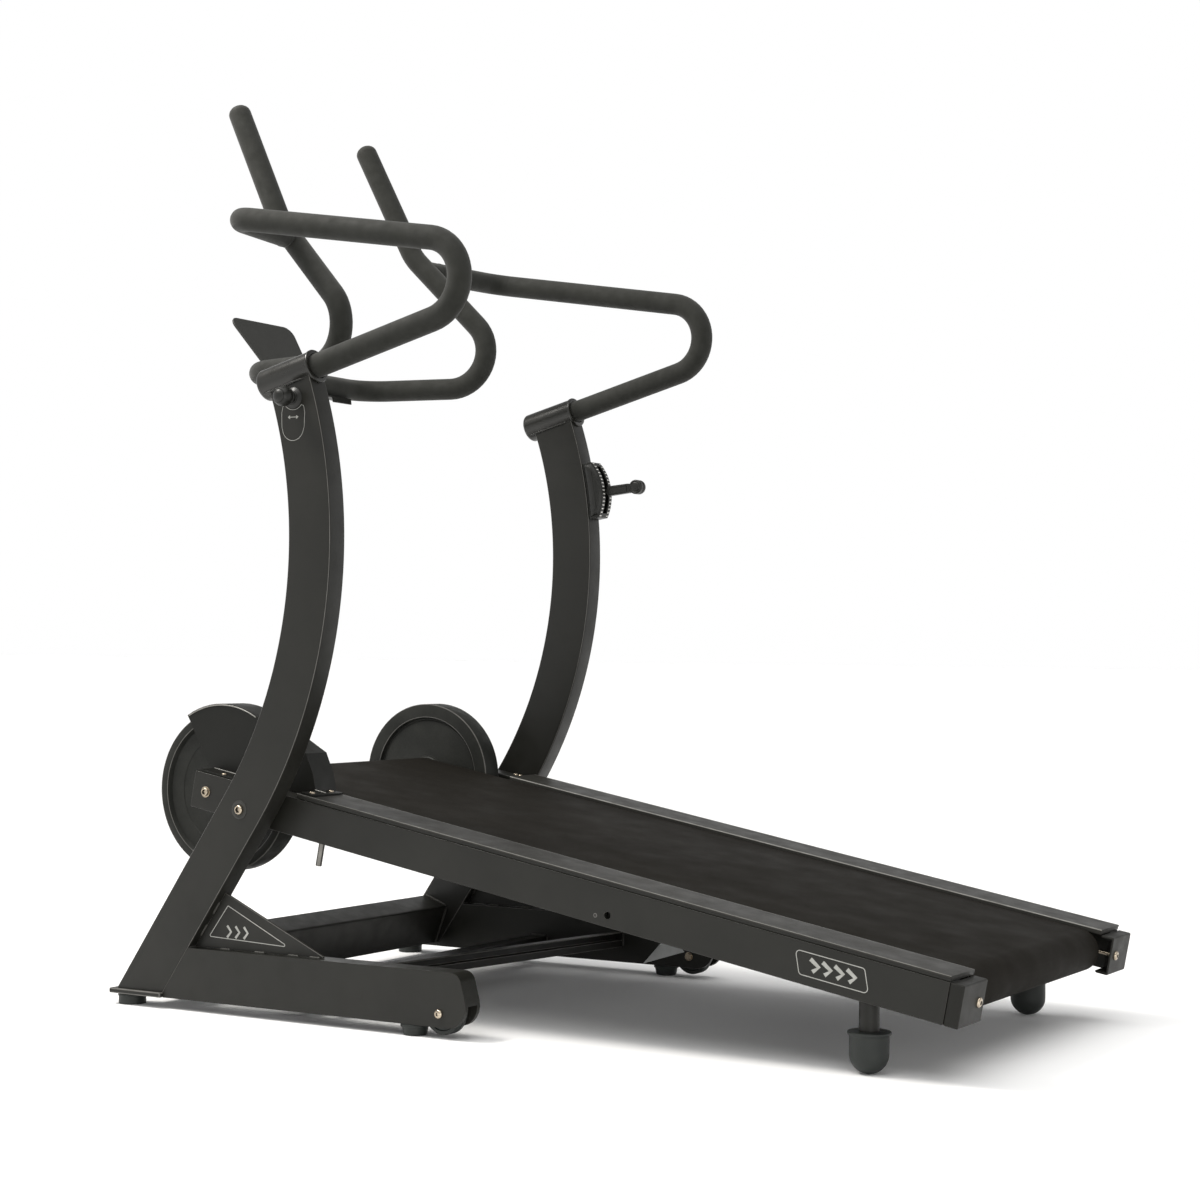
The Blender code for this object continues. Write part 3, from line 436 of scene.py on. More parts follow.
def raised(base, points):
    """The same (radius, height) points, their heights counted from a base."""
    return [(radius, base + height) for radius, height in points]


def mirrored(upper, lower=None):
    """A closed profile: an upper half, then a lower half turned over its middle plane."""
    return [*upper, *((radius, -height) for radius, height in reversed(lower or upper))]


def deck_corners(node):
    """A deck node's corners in the deck's own frame."""
    return [FROM_DECK @ vertex.co for vertex in NODES[node].data.vertices]


def arc(center, radius, start, end, steps):
    return [
        (
            center[0] + radius * cos(start + (end - start) * i / steps),
            center[1] + radius * sin(start + (end - start) * i / steps),
        )
        for i in range(steps + 1)
    ]


def rounded(points, radii, steps=14, closed=False):
    """The points of a line, each corner with a radius replaced by an arc that touches both runs."""
    points = [Vector(point) for point in points]
    result = []
    for i, corner in enumerate(points):
        radius = radii[i]
        at_end = not closed and i in (0, len(points) - 1)
        if at_end or not radius:
            result.append(corner)
            continue
        back = (points[i - 1] - corner).normalized()
        ahead = (points[(i + 1) % len(points)] - corner).normalized()
        half = back.angle(ahead) / 2
        center = corner + (back + ahead).normalized() * radius / sin(half)
        begin = corner + back * radius / tan(half) - center
        finish = corner + ahead * radius / tan(half) - center
        sweep = begin.angle(finish)
        for k in range(steps + 1):
            share = k / steps
            first = sin((1 - share) * sweep) / sin(sweep)
            second = sin(share * sweep) / sin(sweep)
            result.append(center + begin * first + finish * second)
    return result


def divided(points, longest):
    """The same line with its long runs cut into equal steps."""
    result = [points[0]]
    for first, second in zip(points, points[1:]):
        count = max(1, ceil((second - first).length / longest))
        result.extend(first.lerp(second, (k + 1) / count) for k in range(count))
    return result


def pipe(work, points, radius, sides=32, domed=(False, False)):
    """A round tube along a line, whose radius may be a function of the share of the way."""
    tangents = []
    for i in range(len(points)):
        before = points[max(i - 1, 0)]
        after = points[min(i + 1, len(points) - 1)]
        tangents.append((after - before).normalized())
    normal = tangents[0].orthogonal().normalized()
    rings = []
    size = radius if callable(radius) else lambda share: radius
    for i, (point, tangent) in enumerate(zip(points, tangents)):
        normal = (normal - tangent * normal.dot(tangent)).normalized()
        across = tangent.cross(normal)
        rings.append((point, normal.copy(), across, size(i / (len(points) - 1)), tangent))

    def ring(center, first, second, reach):
        angles = [2 * pi * k / sides for k in range(sides)]
        return [center + (first * cos(a) + second * sin(a)) * reach for a in angles]

    def dome(end, sign):
        center, first, second, reach, tangent = end
        turns = [radians(15 * k) for k in range(1, 6)]
        return [
            ring(
                center + tangent * sign * (reach * 0.8 * sin(a)), first, second,
                reach * cos(a),
            )
            for a in turns
        ]

    result = [ring(*entry[:4]) for entry in rings]
    if domed[0]:
        result = dome(rings[0], -1.0)[::-1] + result
    if domed[1]:
        result = result + dome(rings[-1], 1.0)
    loft(work, result)


def stroke(work, place, outline, width, closed=True):
    """A painted line on a face that looks left, along (u, v) points in the plane of place."""
    points = [place @ Vector((*point, 0.0)) for point in outline]
    count = len(points)
    rows = []
    for i, point in enumerate(points):
        before = points[(i - 1) % count] if closed or i else point
        after = points[(i + 1) % count] if closed or i < count - 1 else point
        aside = LEFT.cross((after - before).normalized()) * width / 2
        rows.append([point + aside + LEFT * PAINT_LIFT, point - aside + LEFT * PAINT_LIFT])
    loft(work, rows, closed_path=closed, closed_ring=False)


def bead(work, start, end, radius, seed=0.0):
    """A weld bead: a low rippled ridge between two points."""
    start = Vector(start)
    end = Vector(end)
    length = (end - start).length
    ripples = max(3, round(length / (radius * 0.9)))
    count = ripples * 5
    points = []
    across = (end - start).orthogonal().normalized()
    for i in range(count + 1):
        wander = sin(i * 0.61 + seed) * radius * 0.10
        points.append(start.lerp(end, i / count) + across * wander)

    def size(share):
        ripple = 0.16 * abs(sin(share * ripples * pi))
        ends = min(1.0, 6.0 * share + 0.45, 6.0 * (1 - share) + 0.45)
        return radius * (0.86 + ripple) * ends

    pipe(work, points, size, sides=12)


def basis(place, axis):
    """A frame at a place whose local Z runs along an axis."""
    return Matrix.Translation(place) @ Vector(axis).to_track_quat("Z", "Y").to_matrix().to_4x4()


def button_head(work, place, radius, height, socket, depth, seat=0.0):
    """A domed bolt head with a six-sided socket, its seat this far up the place's local Z."""
    sides = 48
    place = place @ Matrix.Translation((0, 0, seat))
    mouth = socket * 1.18
    brow = height * 0.22
    rise = height * 0.74
    angles = [2 * pi * k / sides for k in range(sides)]

    def ring(level, reach_at):
        return [
            place @ Vector((reach_at(a) * cos(a), reach_at(a) * sin(a), level)) for a in angles
        ]

    def hexagon(angle):
        local = (angle + pi / 6) % (pi / 3) - pi / 6
        return socket * cos(pi / 6) / cos(local)

    dome = [(radius, 0.0), (radius, brow)]
    for angle in (radians(20), radians(40), radians(58)):
        dome.append((mouth + (radius - mouth) * cos(angle), brow + rise * sin(angle)))
    dome.append((mouth, height))
    rim = ring(height - 0.0002, hexagon)
    bottom = ring(height - depth, hexagon)
    loft(work, [*(ring(level, lambda a, r=r: r) for r, level in dome), rim], capped=False)
    for wall in loft(work, [rim, bottom], capped=False):
        wall.material_index = 1
    work.faces.new([work.verts.new(point) for point in bottom])


# ---- carried CAD nodes


def smoothing_group():
    """Geometry nodes that shade a mesh smooth, with its edges over an angle kept sharp."""
    group = bpy.data.node_groups.new("smooth_by_angle", "GeometryNodeTree")
    for way in ("INPUT", "OUTPUT"):
        group.interface.new_socket("Geometry", in_out=way, socket_type="NodeSocketGeometry")
    kinds = (
        "NodeGroupInput", "GeometryNodeRemoveAttribute", "GeometryNodeSetShadeSmooth",
        "GeometryNodeSetShadeSmooth", "NodeGroupOutput",
    )
    chain = [group.nodes.new(kind) for kind in kinds]
    for first, second in zip(chain, chain[1:]):
        group.links.new(first.outputs[0], second.inputs["Geometry"])
    chain[1].inputs["Name"].default_value = "custom_normal"
    edges = chain[3]
    edges.domain = "EDGE"
    edges.inputs["Shade Smooth"].default_value = False
    over = group.nodes.new("FunctionNodeCompare")
    over.operation = "GREATER_THAN"
    over.inputs[1].default_value = radians(34)
    angle = group.nodes.new("GeometryNodeInputMeshEdgeAngle")
    group.links.new(angle.outputs[0], over.inputs[0])
    group.links.new(over.outputs[0], edges.inputs["Selection"])
    return group


SMOOTHING = smoothing_group()


def dress(node, material, width, edge=None):
    """Give a CAD node its material, and round its edges without touching its mesh."""
    obj = NODES[node]
    obj.data.materials.clear()
    obj.data.materials.append(material)
    if edge:
        obj.data.materials.append(edge)
    weld = obj.modifiers.new("joined_corners", "WELD")
    weld.merge_threshold = 0.00001
    if width:
        merged = obj.modifiers.new("merged_flat_faces", "DECIMATE")
        merged.decimate_type = "DISSOLVE"
        merged.angle_limit = radians(0.8)
        # With an edge material the bevel faces take it: a painted highlight on the rounded edges.
        bevel = soften(obj, width, 1 if edge else 0)
        bevel.harden_normals = False
    smooth = obj.modifiers.new("smooth_by_angle", "NODES")
    smooth.node_group = SMOOTHING
    weighted = obj.modifiers.new("flat_faces_stay_flat", "WEIGHTED_NORMAL")
    weighted.keep_sharp = True


def dress_carried_nodes():
    pairs = (
        ("base_rail", COAT, 0.0022, EDGE_HIGHLIGHT), ("gusset", COAT, 0.0007, EDGE_HIGHLIGHT),
        ("toe_plate", COAT, 0.0016, EDGE_HIGHLIGHT), ("deck_rail", COAT, 0.0009, EDGE_HIGHLIGHT),
        ("end_cap", CAP_PLASTIC, 0.0009), ("leg_stem", COAT, 0.0010),
        ("front_foot", RUBBER, 0.0018), ("rear_foot", RUBBER, 0.0018),
    )
    singles = (
        ("front_crossbar", COAT, 0.0), ("middle_crossbar", COAT, 0.0),
        ("front_cross_member", COAT, 0.0), ("rear_cross_member", COAT, 0.0),
        ("diagonal_brace", COAT, 0.0012, EDGE_HIGHLIGHT), ("console_bracket", COAT, 0.0006),
        ("console_plate", PLASTIC, 0.0012), ("flywheel_guard", IRON_COAT, 0.0008, EDGE_HIGHLIGHT),
        ("deck_board", BOARD, 0.0), ("front_roller", CHROME, 0.0006),
        ("rear_roller", CHROME, 0.0006), ("front_axle", NICKEL, 0.0006),
        ("rear_axle", NICKEL, 0.0006), ("stop_pin", PIN_STEEL, 0.0008),
        ("dial_housing", GLOSS, 0.0008), ("resistance_lever", GLOSS, 0.0010),
        ("lever_pin", NICKEL, 0.0005), ("knob_boss", PLASTIC, 0.0005),
    )
    for side, _ in SIDES:
        for node, *finish in pairs:
            dress(side + "_" + node, *finish)
    for node, *finish in singles:
        dress(node, *finish)


# ---- uprights and sleeves

FOOT_DOWN = Vector((sin(FOOT_TILT), -cos(FOOT_TILT)))
FOOT_REAR = Vector((-cos(FOOT_TILT), -sin(FOOT_TILT)))
ARC_START = Vector(ARC_CENTER) + FOOT_REAR * ARC_RADIUS
SLEEVE_DOWN = Vector((cos(SLEEVE_TILT), -sin(SLEEVE_TILT)))
SLEEVE_UP = Vector((sin(SLEEVE_TILT), cos(SLEEVE_TILT)))
SLEEVE_TURN = Matrix.Rotation(-pi / 2 - SLEEVE_TILT, 4, "X")  # local +Z to the front end


def sleeve_point(along, up=0.0):
    """A point (y, z) this far to the rear of a sleeve's front end, and this far above its axis."""
    return Vector(SLEEVE_FRONT) - SLEEVE_DOWN * along + SLEEVE_UP * up


def upright_end(radius):
    """The angle at which this face of the upright reaches the sleeve's axis."""
    reach = (Vector(SLEEVE_FRONT) - Vector(ARC_CENTER)).dot(SLEEVE_UP)
    return pi - SLEEVE_TILT - asin(reach / radius)


def box_section(half_width, half_depth, corner):
    corners = (
        (-half_width, -half_depth), (half_width, -half_depth),
        (half_width, half_depth), (-half_width, half_depth),
    )
    return rounded(corners, (corner,) * 4, steps=5, closed=True)


def build_upright(x, foot_height):
    section = box_section(TUBE_HALF, UPRIGHT_HALF_DEPTH, TUBE_CORNER)
    steps = 72

    def ring(share):
        points = []
        for across, back in section:
            if share < 0:
                start = ARC_START + FOOT_REAR * back
                place = start + FOOT_DOWN * ((start.y - foot_height) / -FOOT_DOWN.y)
            else:
                radius = ARC_RADIUS + back
                begin = pi + FOOT_TILT
                angle = begin + (upright_end(radius) - begin) * share
                turn = Vector((cos(angle), sin(angle)))
                place = Vector(ARC_CENTER) + turn * radius
            points.append(at(x + across, *place))
        return points

    def build(work):
        faces = loft(work, [ring(-1.0), *(ring(k / steps) for k in range(steps + 1))])
        # One facet in each rounded corner takes the edge material: a painted highlight along the
        # tube.
        for number, face in enumerate(faces[:-2]):
            face.material_index = 1 if number % len(section) % 6 == 2 else 0

    return build


def make_uprights():
    for side, sign in SIDES:
        foot_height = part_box(side + "_toe_plate")[1].z
        piece(
            side + "_upright_tube", build_upright(BASE_X * sign, foot_height), "frame",
            [COAT, EDGE_HIGHLIGHT], [side + "_upright"],
        )


def make_sleeves():
    nose = 0.007
    radius = SLEEVE_RADIUS + 0.0009
    lip = radius + 0.0013
    bore = FOAM_RADIUS + 0.0008
    front = arc((radius - nose, SLEEVE_LENGTH - nose), nose, pi / 2, 0.0, 8)
    profile = (
        (0.0, SLEEVE_LENGTH), *front, (radius, 0.0052), (lip - 0.0005, 0.0046), (lip, 0.0038),
        (lip, 0.0013), (lip - 0.0006, 0.0003), (lip - 0.002, 0.0), (bore + 0.0008, 0.0),
        (bore, 0.0010), (bore, 0.012), (0.0, 0.012),
    )
    for side, sign in SIDES:
        place = Matrix.Translation(at(BASE_X * sign, *sleeve_point(SLEEVE_LENGTH))) @ SLEEVE_TURN

        def build(work, place=place, sign=sign):
            lathe(work, profile, place, steps=72)
            drop = -sqrt(radius**2 - TUBE_HALF**2)
            for face in (-1, 1):
                x = BASE_X * sign + face * 0.0202
                ends = [at(x, *sleeve_point(along, drop - 0.0006)) for along in (0.0105, 0.0925)]
                bead(work, *ends, 0.0021, seed=face)

        piece(side + "_sleeve_tube", build, "frame", [SATIN], [side + "_sleeve"])


# ---- handlebars


def inner_path():
    bends = (0.0, 0.100, 0.068, 0.065)
    right = [at(*point) for point in INNER_HANDLE_POINTS]
    left = [at(-point[0], *point[1:]) for point in INNER_HANDLE_POINTS]
    path = rounded(left + right[::-1], (*bends, *bends[::-1]), steps=18)
    trim = FOAM_RADIUS * 0.77  # room for the domed ends
    for end, beside in ((0, 1), (-1, -2)):
        path[end] = path[end] + (path[beside] - path[end]).normalized() * trim
    return divided(path, 0.012)


def make_handlebars():
    path = inner_path()
    piece(
        "inner_foam_grip",
        lambda work: pipe(work, path, FOAM_RADIUS, sides=40, domed=(True, True)),
        "frame", [FOAM], ["inner_handlebar"],
    )
    for side, sign in SIDES:
        begin, apex, corner = OUTER_HANDLE_POINTS
        half = [point for point in path if (point.x - DATUM.x) * sign > 0.1]
        weld = min(half, key=lambda point: abs(point.z - corner[1]))
        line = rounded(
            (
                at(BASE_X * sign, *begin), at(OUTER_HANDLE_X * sign, *apex),
                at(OUTER_HANDLE_X * sign, *corner), weld,
            ),
            (0.0, 0.065, 0.045, 0.0), steps=22,
        )
        line = divided(line, 0.012)

        def build(work, line=line):
            pipe(work, line, FOAM_RADIUS, sides=40)
            before, after = line[-4:-2]
            collar = basis(before.lerp(after, 0.5), after - before)
            seam = ((FOAM_RADIUS, -0.003), (FOAM_RADIUS + 0.0006, 0.0), (FOAM_RADIUS, 0.003))
            lathe(work, seam, collar, steps=40)

        piece(
            side + "_outer_foam_grip", build, "frame", [FOAM],
            [side + "_outer_handlebar"],
        )


# ---- running belt and strips


def make_belt():
    inner = 0.0313
    thickness = 0.0025
    half_width = 0.265
    turns = 36
    section = box_section(half_width, thickness / 2, 0.0009)

    def build(work):
        rings = []
        for axle_y, begin in ((FRONT_AXLE_Y, -90.0), (REAR_AXLE_Y, 90.0)):
            for k in range(turns + 1):
                angle = radians(begin + 180.0 * k / turns)
                out = Vector((cos(angle), sin(angle)))
                center = Vector((axle_y, 0.0)) + out * (inner + thickness / 2)
                rings.append([DECK @ Vector((u, *(center + out * v))) for u, v in section])
        loft(work, rings, closed_path=True)

    piece("belt_loop", build, "deck", [BELT], ["running_belt"], crease=50)


def make_strips():
    """Each side strip: a textured top plate whose rims carry a painted highlight, on a set-back
    spacer.
    """
    setback = 0.0020
    rim = 0.0022
    # Section faces that take the pale rim material: a painted highlight along the strip's edges.
    highlight_rows = {4, 5, 7, 8, 9}
    for side, sign in SIDES:
        corners = deck_corners(side + "_foot_strip")
        inner = min(abs(corner.x) for corner in corners)
        outer = max(abs(corner.x) for corner in corners)
        rear, front = (pick(corner.y for corner in corners) for pick in (min, max))
        bottom, top = (pick(corner.z for corner in corners) for pick in (min, max))
        plate_bottom = top - 0.0032

        def plate(work, sign=sign):
            section = [
                (inner + 0.0012, plate_bottom), (outer - 0.0006, plate_bottom),
                (outer, plate_bottom + 0.0008), (outer, top - 0.0011),
                (outer - 0.0004, top - 0.0003), (outer - 0.0012, top), (outer - rim, top),
                (inner + rim, top), (inner + 0.0011, top), (inner + 0.0003, top - 0.0004),
                (inner, top - 0.0012), (inner, bottom), (inner + 0.0012, bottom),
            ]
            rings = [
                [DECK @ Vector((u * sign, y, v)) for u, v in section]
                for y in (rear, rear + 0.0008, front - 0.0008, front)
            ]
            for number, face in enumerate(loft(work, rings)[:-2]):
                face.material_index = 1 if number % len(section) in highlight_rows else 0

        def spacer(work, sign=sign):
            outline = [
                (inner + 0.0016, rear + 0.0001), (outer - setback, rear + 0.0001),
                (outer - setback, front - 0.0001), (inner + 0.0016, front - 0.0001),
            ]
            slab(work, [(u * sign, v) for u, v in outline], DECK, bottom, plate_bottom)

        piece(
            side + "_strip_plate", plate, "deck", [STRIP, RIM_HIGHLIGHT],
            [side + "_foot_strip"], crease=50,
        )
        piece(side + "_strip_spacer", spacer, "deck", [COAT], bevel=0.0005)


# ---- flywheels and wheels


def make_flywheels():
    """Two castings: a dished outer face with a turned step, a flatter inner face."""
    rim = FLYWHEEL_RADIUS
    hub = ((0.0153, 0.0), (0.0150, 0.0006))
    outer_face = (
        *hub, (0.0280, 0.0006), (0.0300, -0.0004), (0.0312, -0.0030), (0.0330, -0.0090),
        (0.0350, -0.0100), (0.0900, -0.0100), (0.0912, -0.0096), (0.0922, -0.0086),
        (0.0935, -0.0084), (0.1140, -0.0084), (0.1160, -0.0078), (0.1192, -0.0016),
        (0.1202, -0.0003), (0.1212, 0.0),
    )
    inner_face = (
        *hub, (0.0335, 0.0006), (0.0350, -0.0002), (0.0358, -0.0012), (0.0370, -0.0050),
        (0.0390, -0.0056), (0.1010, -0.0056), (0.1030, -0.0062), (0.1046, -0.0074),
        (0.1062, -0.0074), (0.1074, -0.0058), (0.1086, -0.0010), (0.1094, -0.0002),
        (0.1104, 0.0),
    )
    tread = ((rim - 0.0014, 0.0), (rim - 0.0003, -0.0005), (rim, -0.0018))
    for side, sign in SIDES:
        center = Vector((middle(side + "_flywheel").x, *joint_place("front_drum_spin").yz))
        place = Matrix.Translation(center) @ TO_SIDE
        plus, minus = (outer_face, inner_face) if sign > 0 else (inner_face, outer_face)
        upper, lower = (raised(FLYWHEEL_HALF, (*face, *tread)) for face in (plus, minus))
        profile = mirrored(upper, lower)
        last = len(upper) - 1
        # Rings at the rim's chamfers and the rim edge of each face take the edge material: a painted
        # highlight.
        highlight_rows = {last - 1, last - 2, last + 1, last + 2, len(plus) - 2}
        highlight_rows.add(len(profile) - len(minus))

        def build(work, place=place, profile=profile, highlight_rows=highlight_rows):
            faces = lathe(work, profile, place, steps=160, closed=True)
            for number, face in enumerate(faces):
                face.material_index = 1 if number % len(profile) in highlight_rows else 0

        piece(
            side + "_flywheel_casting", build, "front_drum", [IRON, EDGE_HIGHLIGHT],
            [side + "_flywheel"], crease=28,
        )


def make_guard_lip():
    """A pale line painted along the guard's upper edge and its two feet: a painted highlight."""
    center = (FRONT_AXLE_Y, 0.0)
    face_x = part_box("left_flywheel")[0].x - PIVOT.x - 0.0052
    crown = arc(center, 0.1420, radians(109.5), radians(49.8), 40)

    def build(work):
        line = [DECK @ Vector((face_x, *point)) for point in crown]
        pipe(work, line, 0.0011, sides=10, domed=(True, True))
        for begin, end, height in ((0.1395, 0.0405, 0.0338), (-0.0715, -0.0925, 0.0435)):
            foot = [DECK @ Vector((face_x, y, height)) for y in (begin, end)]
            pipe(work, foot, 0.0009, sides=10, domed=(True, True))

    piece("guard_lip_highlight", build, "deck", [RIM_HIGHLIGHT])


def make_transport_wheels():
    radius = 0.033
    half = 0.011
    side_face = (
        (0.0043, -0.0030), (0.0095, -0.0030), (0.0105, -0.0006), (0.0115, 0.0), (0.0150, 0.0),
        (0.0165, -0.0016), (0.0255, -0.0016), (0.0270, 0.0), (radius - 0.0028, 0.0),
        (radius - 0.0008, -0.0008), (radius, -0.0028),
    )
    groove = ((radius, 0.0016), (radius - 0.0010, 0.0008))
    profile = mirrored([*raised(half, side_face), *groove])
    for side, _ in SIDES:
        place = Matrix.Translation(joint_place(side + "_wheel_spin")) @ TO_SIDE
        turned(
            side + "_wheel_tyre", profile, place, 88, side + "_wheel", RUBBER,
            [side + "_transport_wheel"],
        )


def make_ball_feet():
    """Flanged rubber bells on the rear legs."""
    bell = 0.0283
    dome = raised(bell, arc((0.0, 0.0), bell, 0.0, -pi / 2, 16))
    flange = (
        (0.0150, -0.0100), (0.0150, 0.0), (0.0185, 0.0002), (0.0304, -0.0004),
        (0.0314, -0.0012), (0.0315, -0.0034), (0.0308, -0.0044), (0.0291, -0.0058),
        (0.0284, -0.0074),
    )
    for side, _ in SIDES:
        node = side + "_ball_foot"
        profile = (*raised(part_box(node)[1].z, flange), *dome[:-1], (0.0, 0.0))
        place = Matrix.Translation((middle(node).x, middle(side + "_leg_stem").y, 0.0))
        turned(side + "_rubber_bell", profile, place, 72, "deck", RUBBER, [node])


# ---- bolts, knob and lever


def outward(place, sign):
    """A frame on the symmetry plane, level with a place, whose local Z runs out to one side."""
    origin = Matrix.Translation((PIVOT.x, *place.yz))
    return origin @ Matrix.Rotation(sign * pi / 2, 4, "Y")


def screw(name, build, body, *nodes):
    piece(name, build, body, [NICKEL, SOCKET], nodes)


def make_side_bolts():
    """The bolts across the frame: pivots, drum axle and wheels, each with a socket head."""
    washer = (
        (0.0078, 0.0), (0.0078, 0.0003), (0.0100, 0.0004), (0.0120, 0.0011), (0.0136, 0.0013),
        (0.0148, 0.0009), (0.0152, -0.0002),
    )
    washer = raised(UPRIGHT_OUTER, washer)
    for side, sign in SIDES:
        pivot = outward(PIVOT, sign)
        axle = outward(joint_place("front_drum_spin"), sign)
        wheel = outward(joint_place(side + "_wheel_spin"), sign)

        def pivot_bolt(work, pivot=pivot):
            shank = (
                *raised(UPRIGHT_OUTER, ((0.0, 0.0004), (0.0075, 0.0004))),
                *raised(UPRIGHT_INNER, ((0.0080, 0.0), (0.0150, -0.0004))),
                *raised(RAIL_OUTER, ((0.0152, 0.0008), (0.0150, 0.0004), (0.0080, 0.0))),
                (0.0080, RAIL_X), (0.0, RAIL_X),
            )
            lathe(work, shank, pivot, steps=48)
            button_head(work, pivot, 0.0078, 0.0042, 0.0052, 0.0036, UPRIGHT_OUTER + 0.0004)

        def axle_bolt(work, axle=axle):
            flange = (
                (0.0, 0.0003), (0.0088, 0.0003), (0.0092, 0.0006), (0.0090, 0.0012),
                (0.0060, 0.0014), (0.0, 0.0014),
            )
            lathe(work, raised(RAIL_OUTER, flange), axle, steps=48)
            button_head(work, axle, 0.0074, 0.0040, 0.0044, 0.0030, RAIL_OUTER + 0.0013)

        def wheel_bolt(work, wheel=wheel):
            shank = (
                (0.0, UPRIGHT_OUTER), (0.0040, UPRIGHT_OUTER),
                (0.0040, UPRIGHT_INNER), (0.0, UPRIGHT_INNER),
            )
            lathe(work, shank, wheel, 32)
            button_head(work, wheel, 0.0070, 0.0048, 0.0027, 0.0020, UPRIGHT_OUTER + 0.0002)
            nut = (
                (0.0, -0.0050), (0.0058, -0.0050), (0.0068, -0.0042), (0.0068, -0.0008),
                (0.0, -0.0004),
            )
            lathe(work, raised(UPRIGHT_INNER, nut), wheel, steps=6)
            disc = ((0.0, -0.0009), (0.0078, -0.0009), (0.0080, -0.0002))
            lathe(work, raised(UPRIGHT_INNER, disc), wheel, steps=40)

        screw(side + "_pivot_screw", pivot_bolt, "frame", side + "_pivot_bolt")
        turned(side + "_pivot_washer", washer, pivot, 64, "frame", PLASTIC)
        screw(side + "_axle_screw", axle_bolt, "deck", side + "_axle_bolt")
        screw(side + "_wheel_screw", wheel_bolt, "frame", side + "_wheel_bolt")


def deck_frame(x, y, z):
    return DECK @ Matrix.Translation((x, y, z))


def make_deck_bolts():
    """Belt tension bolts in the end caps, and the small screws on rails, strips and guard."""
    rear_face = min(corner.y for corner in deck_corners("left_end_cap"))
    for side, _ in SIDES:
        local = FROM_DECK @ middle(side + "_tension_bolt")
        seat = deck_frame(local.x, rear_face - 0.0002, 0.0) @ Matrix.Rotation(pi / 2, 4, "X")

        def tension_bolt(work, seat=seat):
            shank = ((0.0, -0.0003), (0.0030, -0.0003), (0.0030, -0.0400), (0.0, -0.0405))
            lathe(work, shank, seat, 32)
            button_head(work, seat, 0.0076, 0.0040, 0.0034, 0.0026)

        screw(side + "_tension_screw", tension_bolt, "deck", side + "_tension_bolt")

    rail_top = 0.0305
    strip_top = max(corner.z for corner in deck_corners("left_foot_strip"))
    guard_top = strip_top + 0.0031

    def small_screws(work):
        spots = (
            (-0.3475, 0.0962, rail_top + 0.0033), (-0.2905, -0.0800, guard_top),
            (-0.3405, -0.0805, guard_top), (0.3505, -0.0280, rail_top),
            (0.3505, -0.0390, rail_top),
        )
        for spot in spots:
            button_head(work, deck_frame(*spot), 0.0048, 0.0024, 0.0021, 0.0015)

    screw("deck_small_screws", small_screws, "deck")

    def rail_hole(work):
        spot = FROM_DECK @ at(-RAIL_OUTER, -0.8700, 0.1975)
        hole = deck_frame(-RAIL_OUTER, spot.y, spot.z) @ Matrix.Rotation(-pi / 2, 4, "Y")
        # The hole's floor is painted dark as shade, and its rim lighter as a painted highlight.
        lathe(work, ((0.0, 0.0001), (0.0021, 0.00015), (0.0022, 0.0003)), hole, 28, material=1)
        lathe(work, ((0.0022, 0.0003), (0.0028, 0.0003), (0.0033, 0.0)), hole, 28)

    piece("rail_small_hole", rail_hole, "deck", [EDGE_HIGHLIGHT, SOCKET])


def make_lock_knob():
    """A ball knob on the lock pin, and the flange round its boss."""
    place = outward(joint_place("lock_knob_slide"), -1.0)
    ball = 0.0160
    center = 0.4435
    cap = raised(center, arc((0.0, 0.0), ball, pi / 2, -0.45, 26))
    seam = 10  # the moulding's parting line
    reach, height = cap[seam]
    cap[seam:seam] = [(reach - 0.0006, height - 0.0002), (reach - 0.0004, height - 0.0010)]
    profile = (
        *cap, (0.0118, 0.4362), (0.0120, 0.4352), (0.0142, 0.4348), (0.0146, 0.4342),
        (0.0146, 0.4337), (0.0140, 0.4333), (0.0048, 0.4333), (0.0048, 0.3630), (0.0035, 0.3613),
        (0.0, 0.3612),
    )
    turned(
        "ball_knob", profile, place, 72, "lock_knob", GLOSS, ["lock_knob"], 50
    )
    flange = (
        (0.0054, 0.0064), (0.0098, 0.0067), (0.0108, 0.0060), (0.0112, 0.0046),
        (0.0158, 0.0014), (0.0168, 0.0010), (0.0172, 0.0),
    )
    rings = raised(UPRIGHT_OUTER, flange)
    turned("knob_flange", rings, place, 64, "frame", GLOSS)


